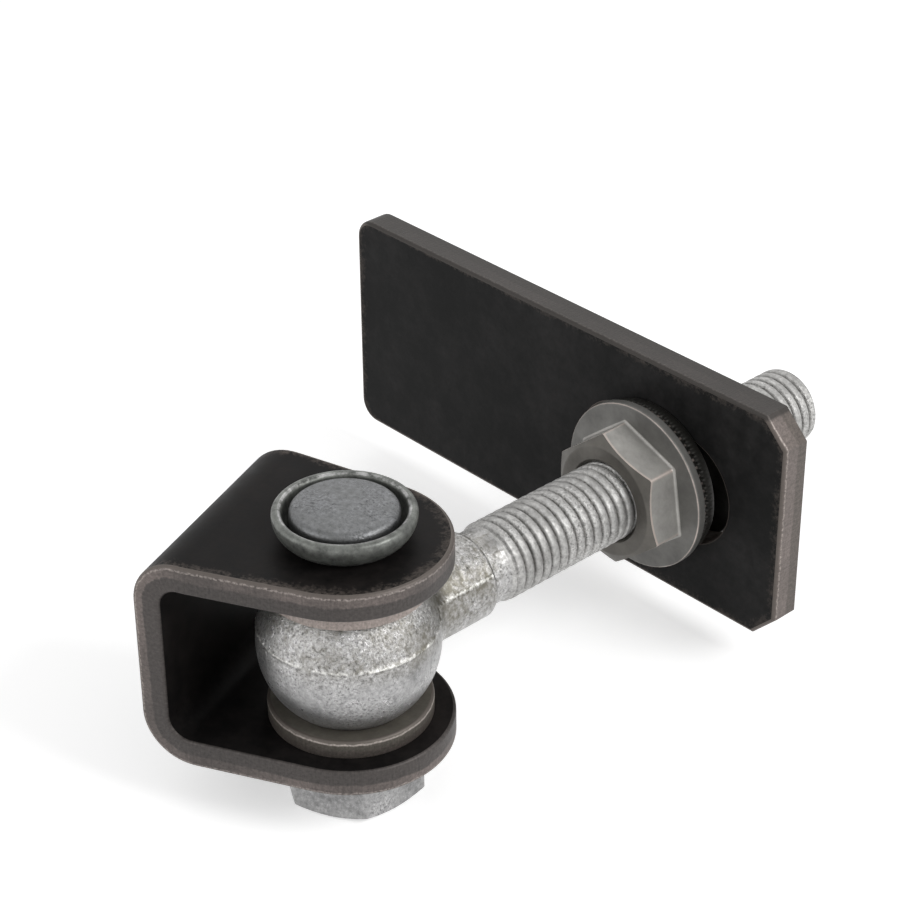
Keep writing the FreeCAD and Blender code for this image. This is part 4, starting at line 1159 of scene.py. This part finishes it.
def plain_steel(name, base, bright, flake_mm, roughness, swing=0.25):
    """A plain plated or bare steel: an even grey with faint handling marks, bright along worn edges.

    The grey drifts over flake_mm millimetres by the share swing, and edges marked as worn show the
    brighter metal.
    """
    finish, tree, place = new_finish(name)
    drift = add(tree, "TexNoise", {"Vector": place, "Scale": PER_MM / flake_mm, "Detail": 6.0,
                                   "Roughness": 0.65})
    grain = add(tree, "TexNoise", {"Vector": place, "Scale": PER_MM / 0.6, "Detail": 3.0})
    edge = add(tree, "Attribute", attribute_name="wear_and_highlight")
    tone = add(tree, "MapRange", {"Value": drift, "From Min": 0.3, "From Max": 0.7,
                                  "To Min": 0.97 - swing, "To Max": 0.97 + swing})
    body = add(tree, "VectorMath", {0: base[:3], "Scale": tone}, operation="SCALE")
    # marked edges turn to the bright colour: wear, and on the nuts and the cup's lip painted highlights
    rub = add(tree, "Math", {0: edge.outputs["Fac"], 1: tone}, operation="MULTIPLY")
    worn = add(tree, "MapRange", {"Value": rub, "From Min": 0.45, "From Max": 1.0, "To Max": 0.9})
    shade = add(tree, "Mix", {"Factor": worn, "A": body, "B": bright}, data_type="RGBA")
    dull = add(tree, "MapRange", {"Value": drift, "From Min": 0.3, "From Max": 0.7,
                                  "To Min": roughness + 0.08, "To Max": roughness - 0.06})
    bump = add(tree, "Bump", {"Height": grain, "Strength": 0.25, "Distance": 0.08 * MM})
    steel = add(tree, "BsdfPrincipled", {"Base Color": shade, "Roughness": dull, "Metallic": 0.5,
                                         "Normal": bump})
    add(tree, "OutputMaterial", {"Surface": steel})
    return finish


def dull_zinc(colours):
    """Thin dull zinc on the pressed cup: dark grey, slightly green, with a painted highlight inside the
    lip.
    """
    return plain_steel("dull zinc on pressed steel", colours.cup_grey, colours.zinc_light, 2.2, 0.4, 0.6)


def nut_plate(colours):
    """Zinc plate on the machined nuts: an even mid grey, with bright corners painted as highlights,
    partly wear.
    """
    return plain_steel("zinc plate on machined steel", colours.nut_grey, colours.worn_and_highlight, 7.0, 0.42)


def shaded_flange_plate(colours):
    """Zinc plate on the nuts' flanges: duller, and darker than on the hexagons as painted shade."""
    return plain_steel("zinc plate on machined steel, darkened as painted shade", colours.flange_shade_grey, colours.worn_and_highlight, 7.0,
                       0.46)


def nut_end(colours):
    """End faces of the nuts: turned steel with little zinc on it, dark and a little brown."""
    return plain_steel("turned steel with thin zinc", colours.end_grey, colours.worn_and_highlight, 7.0, 0.44)


def washer_steel(colours):
    """Bare punched washers: dark olive grey, bright along the rolled edge."""
    return plain_steel("bare punched steel", colours.washer_grey, colours.worn_and_highlight, 4.0, 0.42)


def spring_steel(colours):
    """Oxidised spring steel of the serrated washers: nearly black, with bright tips on the teeth."""
    return plain_steel("oxidised spring steel", colours.lock_grey, colours.worn_and_highlight, 2.0, 0.45)


MADE_FINISHES = {}


def finish_of(maker, context):
    """The finish that a maker gives for the panel's colours, made once."""
    if maker not in MADE_FINISHES:
        MADE_FINISHES[maker] = maker(context.scene.hinge_colours)
    return MADE_FINISHES[maker]


def rear_seat(sizes):
    """Distance from the ball's centre to the rear nut's bearing face."""
    return sizes.seat_reach + sizes.plate_thick + 2.0 * sizes.lock_thick


class HINGE_OT_bracket(bpy.types.Operator):
    """Fold the bracket that is welded to the post"""
    bl_idname = "hinge.bracket"
    bl_label = "Folded bracket"

    def execute(self, context):
        finishes = [finish_of(maker, context) for maker in (shaded_strip_scale, strip_edge)]
        set_piece("u_bracket", bracket_patches(context.scene.hinge_sizes), on_pivot, finishes)
        return {"FINISHED"}


class HINGE_OT_pivot(bpy.types.Operator):
    """Turn the riveted pivot and the cup washer under its end"""
    bl_idname = "hinge.pivot"
    bl_label = "Pivot and cup washer"

    def execute(self, context):
        sizes = context.scene.hinge_sizes
        finishes = [finish_of(maker, context) for maker in (eye_zinc, shaded_button_zinc)]
        set_piece("pivot_bolt", pivot_patches(sizes), on_pivot, finishes)
        set_piece("cup_washer", cup_patches(sizes), on_pivot, [finish_of(dull_zinc, context)])
        return {"FINISHED"}


class HINGE_OT_washers(bpy.types.Operator):
    """Punch the flat washers above and below the ball"""
    bl_idname = "hinge.washers"
    bl_label = "Flat washers"

    def execute(self, context):
        sizes = context.scene.hinge_sizes
        makers = (washer_steel, washer_edge, bright_rim)
        face, dark_rim, light_rim = (finish_of(maker, context) for maker in makers)
        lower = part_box("lower_washer")[0][2]
        set_piece("lower_washer", washer_patches(sizes, lower), on_pivot, [face, dark_rim])
        set_piece("upper_washer", washer_patches(sizes, sizes.eye_high / 2.0), on_bolt, [face, light_rim])
        return {"FINISHED"}


class HINGE_OT_eye_bolt(bpy.types.Operator):
    """Forge the ball eye with its neck and threaded bolt"""
    bl_idname = "hinge.eye_bolt"
    bl_label = "Eye bolt"

    def execute(self, context):
        sizes = context.scene.hinge_sizes
        finishes = [finish_of(maker, context) for maker in (eye_zinc, thread_zinc)]
        set_piece("eye_bolt", eye_patches(sizes) + stem_patches(sizes), on_bolt, finishes)
        return {"FINISHED"}


class HINGE_OT_nuts(bpy.types.Operator):
    """Make the two flange nuts that clamp the plate"""
    bl_idname = "hinge.nuts"
    bl_label = "Flange nuts"

    def execute(self, context):
        sizes = context.scene.hinge_sizes
        finishes = [finish_of(maker, context) for maker in (nut_plate, shaded_flange_plate, nut_end)]
        set_piece("front_nut", nut_patches(sizes, sizes.seat_reach, -1.0), on_bolt, finishes)
        set_piece("rear_nut", nut_patches(sizes, rear_seat(sizes), 1.0), on_bolt, finishes)
        return {"FINISHED"}


class HINGE_OT_lock_washers(bpy.types.Operator):
    """Cut the two serrated washers beside the plate"""
    bl_idname = "hinge.lock_washers"
    bl_label = "Serrated washers"

    def execute(self, context):
        sizes = context.scene.hinge_sizes
        finishes = [finish_of(spring_steel, context)]
        set_piece("front_lock_washer", lock_patches(sizes, sizes.seat_reach, 1.0), on_bolt, finishes)
        set_piece("rear_lock_washer", lock_patches(sizes, rear_seat(sizes), -1.0), on_bolt, finishes)
        return {"FINISHED"}


class HINGE_OT_plate(bpy.types.Operator):
    """Cut the slotted plate that is welded to the gate"""
    bl_idname = "hinge.plate"
    bl_label = "Weld plate"

    def execute(self, context):
        finishes = [finish_of(maker, context) for maker in (lit_plate_scale, plate_edge)]
        set_piece("weld_plate", plate_patches(context.scene.hinge_sizes), on_bolt, finishes)
        return {"FINISHED"}


# The photograph's viewpoint, worked out from the hinge's own edges in the picture
VIEW_POINT = (0.23167, -0.36512, 0.29708)
VIEW_AZIMUTH = math.radians(25.48)
VIEW_ELEVATION = math.radians(31.5)
VIEW_ROLL = math.radians(-0.5)
LENS_MM = 101.59
SENSOR_MM = 36.0
NEAR_CLIP = 0.01

# The studio: half the floor's side and the gap under the hinge, in metres, and the strengths of its light
FLOOR_HALF = 4.0
FLOOR_GAP = 0.02 * MM
FLOOR_GLOW = 0.45
WORLD_STRENGTH = 0.45
WHITE = (1.0, 1.0, 1.0, 1.0)
# Each lamp's place right of the view, towards the viewer and up, its width, and its power in watts
LAMPS = {
    "key": ((0.5, 0.3, 0.45), 0.35, 2.9),
    "fill": ((-0.6, 0.3, 0.3), 0.5, 1.1),
    "back": ((0.05, -0.5, 0.55), 0.5, 0.6),
}


def view_axes():
    """The camera's right, up and backward directions from its azimuth, elevation and roll."""
    azimuth, elevation, roll = VIEW_AZIMUTH, VIEW_ELEVATION, VIEW_ROLL
    out = np.array((math.sin(azimuth) * math.cos(elevation), -math.cos(azimuth) * math.cos(elevation),
                    math.sin(elevation)))
    level = np.array((math.cos(azimuth), math.sin(azimuth), 0.0))
    high = np.cross(out, level)
    right = level * math.cos(roll) + high * math.sin(roll)
    up = high * math.cos(roll) - level * math.sin(roll)
    return right, up, out


def placed(axes, point):
    """The matrix of an object whose own x, y and z run along the given axes from a point."""
    matrix = np.eye(4)
    matrix[:3, :3] = axes.T
    matrix[:3, 3] = point
    return Matrix(matrix.tolist())


def white_background(tree, lit, white):
    """Mix a lit shader with plain white for what the camera, a reflection or a clear piece sees."""
    rays = add(tree, "LightPath").outputs
    seen = add(tree, "Math", {0: rays["Is Camera Ray"], 1: rays["Is Glossy Ray"]}, operation="MAXIMUM")
    seen = add(tree, "Math", {0: seen, 1: rays["Is Transmission Ray"]}, operation="MAXIMUM")
    return add(tree, "MixShader", {0: seen, 1: lit, 2: white})


class HINGE_OT_stage(bpy.types.Operator):
    """Set up the floor, the lamps, the world and the photograph's camera"""
    bl_idname = "hinge.stage"
    bl_label = "Studio"

    def execute(self, context):
        scene = context.scene
        scene.view_settings.view_transform = "Standard"
        low, high = np.array(CAD_BOX[0]), np.array(CAD_BOX[1])
        middle = (low + high) / 2.0
        corners = np.array(((-1, -1), (1, -1), (1, 1), (-1, 1))) * FLOOR_HALF
        spots = np.column_stack((corners + middle[:2], np.full(4, low[2] - FLOOR_GAP)))
        mesh = bpy.data.meshes.new("floor_mesh")
        mesh.from_pydata(spots, [], [(0, 1, 2, 3)])
        floor = bpy.data.objects.new("floor", mesh)
        scene.collection.objects.link(floor)
        paper, tree, _place = new_finish("white paper sweep")
        matt = add(tree, "BsdfDiffuse", {"Color": scene.hinge_colours.floor_white})
        glow = add(tree, "Emission", {"Color": WHITE, "Strength": FLOOR_GLOW})
        both = add(tree, "AddShader", {0: matt, 1: glow})
        surface = white_background(tree, matt, both)
        add(tree, "OutputMaterial", {"Surface": surface})
        mesh.materials.append(paper)

        world = bpy.data.worlds.new("studio")
        scene.world = world
        world.use_nodes = True
        tree = world.node_tree
        tree.nodes.clear()
        soft = add(tree, "Background", {"Color": WHITE, "Strength": WORLD_STRENGTH})
        white = add(tree, "Background", {"Color": WHITE, "Strength": 1.0})
        add(tree, "OutputWorld", {"Surface": white_background(tree, soft, white)})

        right, _up, out = view_axes()
        toward = unit(out * (1.0, 1.0, 0.0))
        for name, ((aside, near, above), width, power) in LAMPS.items():
            light = bpy.data.lights.new(name, "AREA")
            light.shape = "SQUARE"
            light.size = width
            light.energy = power
            lamp = bpy.data.objects.new(name, light)
            offset = right * aside + toward * near + UP * above
            axis = unit(offset)
            sideways = unit(np.cross(UP, axis))
            lamp.matrix_world = placed(np.stack((sideways, np.cross(axis, sideways), axis)),
                                       middle + offset)
            scene.collection.objects.link(lamp)

        lens = bpy.data.cameras.new("camera")
        lens.sensor_fit = "HORIZONTAL"
        lens.sensor_width = SENSOR_MM
        lens.lens = LENS_MM
        lens.clip_start = NEAR_CLIP
        camera = bpy.data.objects.new("camera", lens)
        camera.matrix_world = placed(np.stack(view_axes()), np.array(VIEW_POINT))
        scene.collection.objects.link(camera)
        scene.camera = camera
        return {"FINISHED"}


OPERATORS = (HINGE_OT_bracket, HINGE_OT_pivot, HINGE_OT_washers, HINGE_OT_eye_bolt, HINGE_OT_nuts,
             HINGE_OT_lock_washers, HINGE_OT_plate, HINGE_OT_stage)


class HINGE_PT_panel(bpy.types.Panel):
    """The hinge's pieces, sizes and colours"""
    bl_idname = "HINGE_PT_panel"
    bl_label = "Gate hinge"
    bl_space_type = "VIEW_3D"
    bl_region_type = "UI"
    bl_category = "Gate hinge"

    def draw(self, context):
        for operator in OPERATORS:
            self.layout.operator(operator.bl_idname)
        for group in (context.scene.hinge_sizes, context.scene.hinge_colours):
            column = self.layout.column(align=True)
            for name in group.__annotations__:
                column.prop(group, name)


CLASSES = (HingeSizes, HingeColours, *OPERATORS, HINGE_PT_panel)


def register():
    """Register the classes and keep the sizes and colours on the scene."""
    for item in CLASSES:
        bpy.utils.register_class(item)
    bpy.types.Scene.hinge_sizes = bpy.props.PointerProperty(type=HingeSizes)
    bpy.types.Scene.hinge_colours = bpy.props.PointerProperty(type=HingeColours)


def unregister():
    """Take the classes and the scene's two groups away again."""
    del bpy.types.Scene.hinge_sizes
    del bpy.types.Scene.hinge_colours
    for item in reversed(CLASSES):
        bpy.utils.unregister_class(item)


def main():
    """Build every piece and the studio."""
    register()
    for operator in OPERATORS:
        family, name = operator.bl_idname.split(".")
        getattr(getattr(bpy.ops, family), name)()


if __name__ == "__main__":
    main()
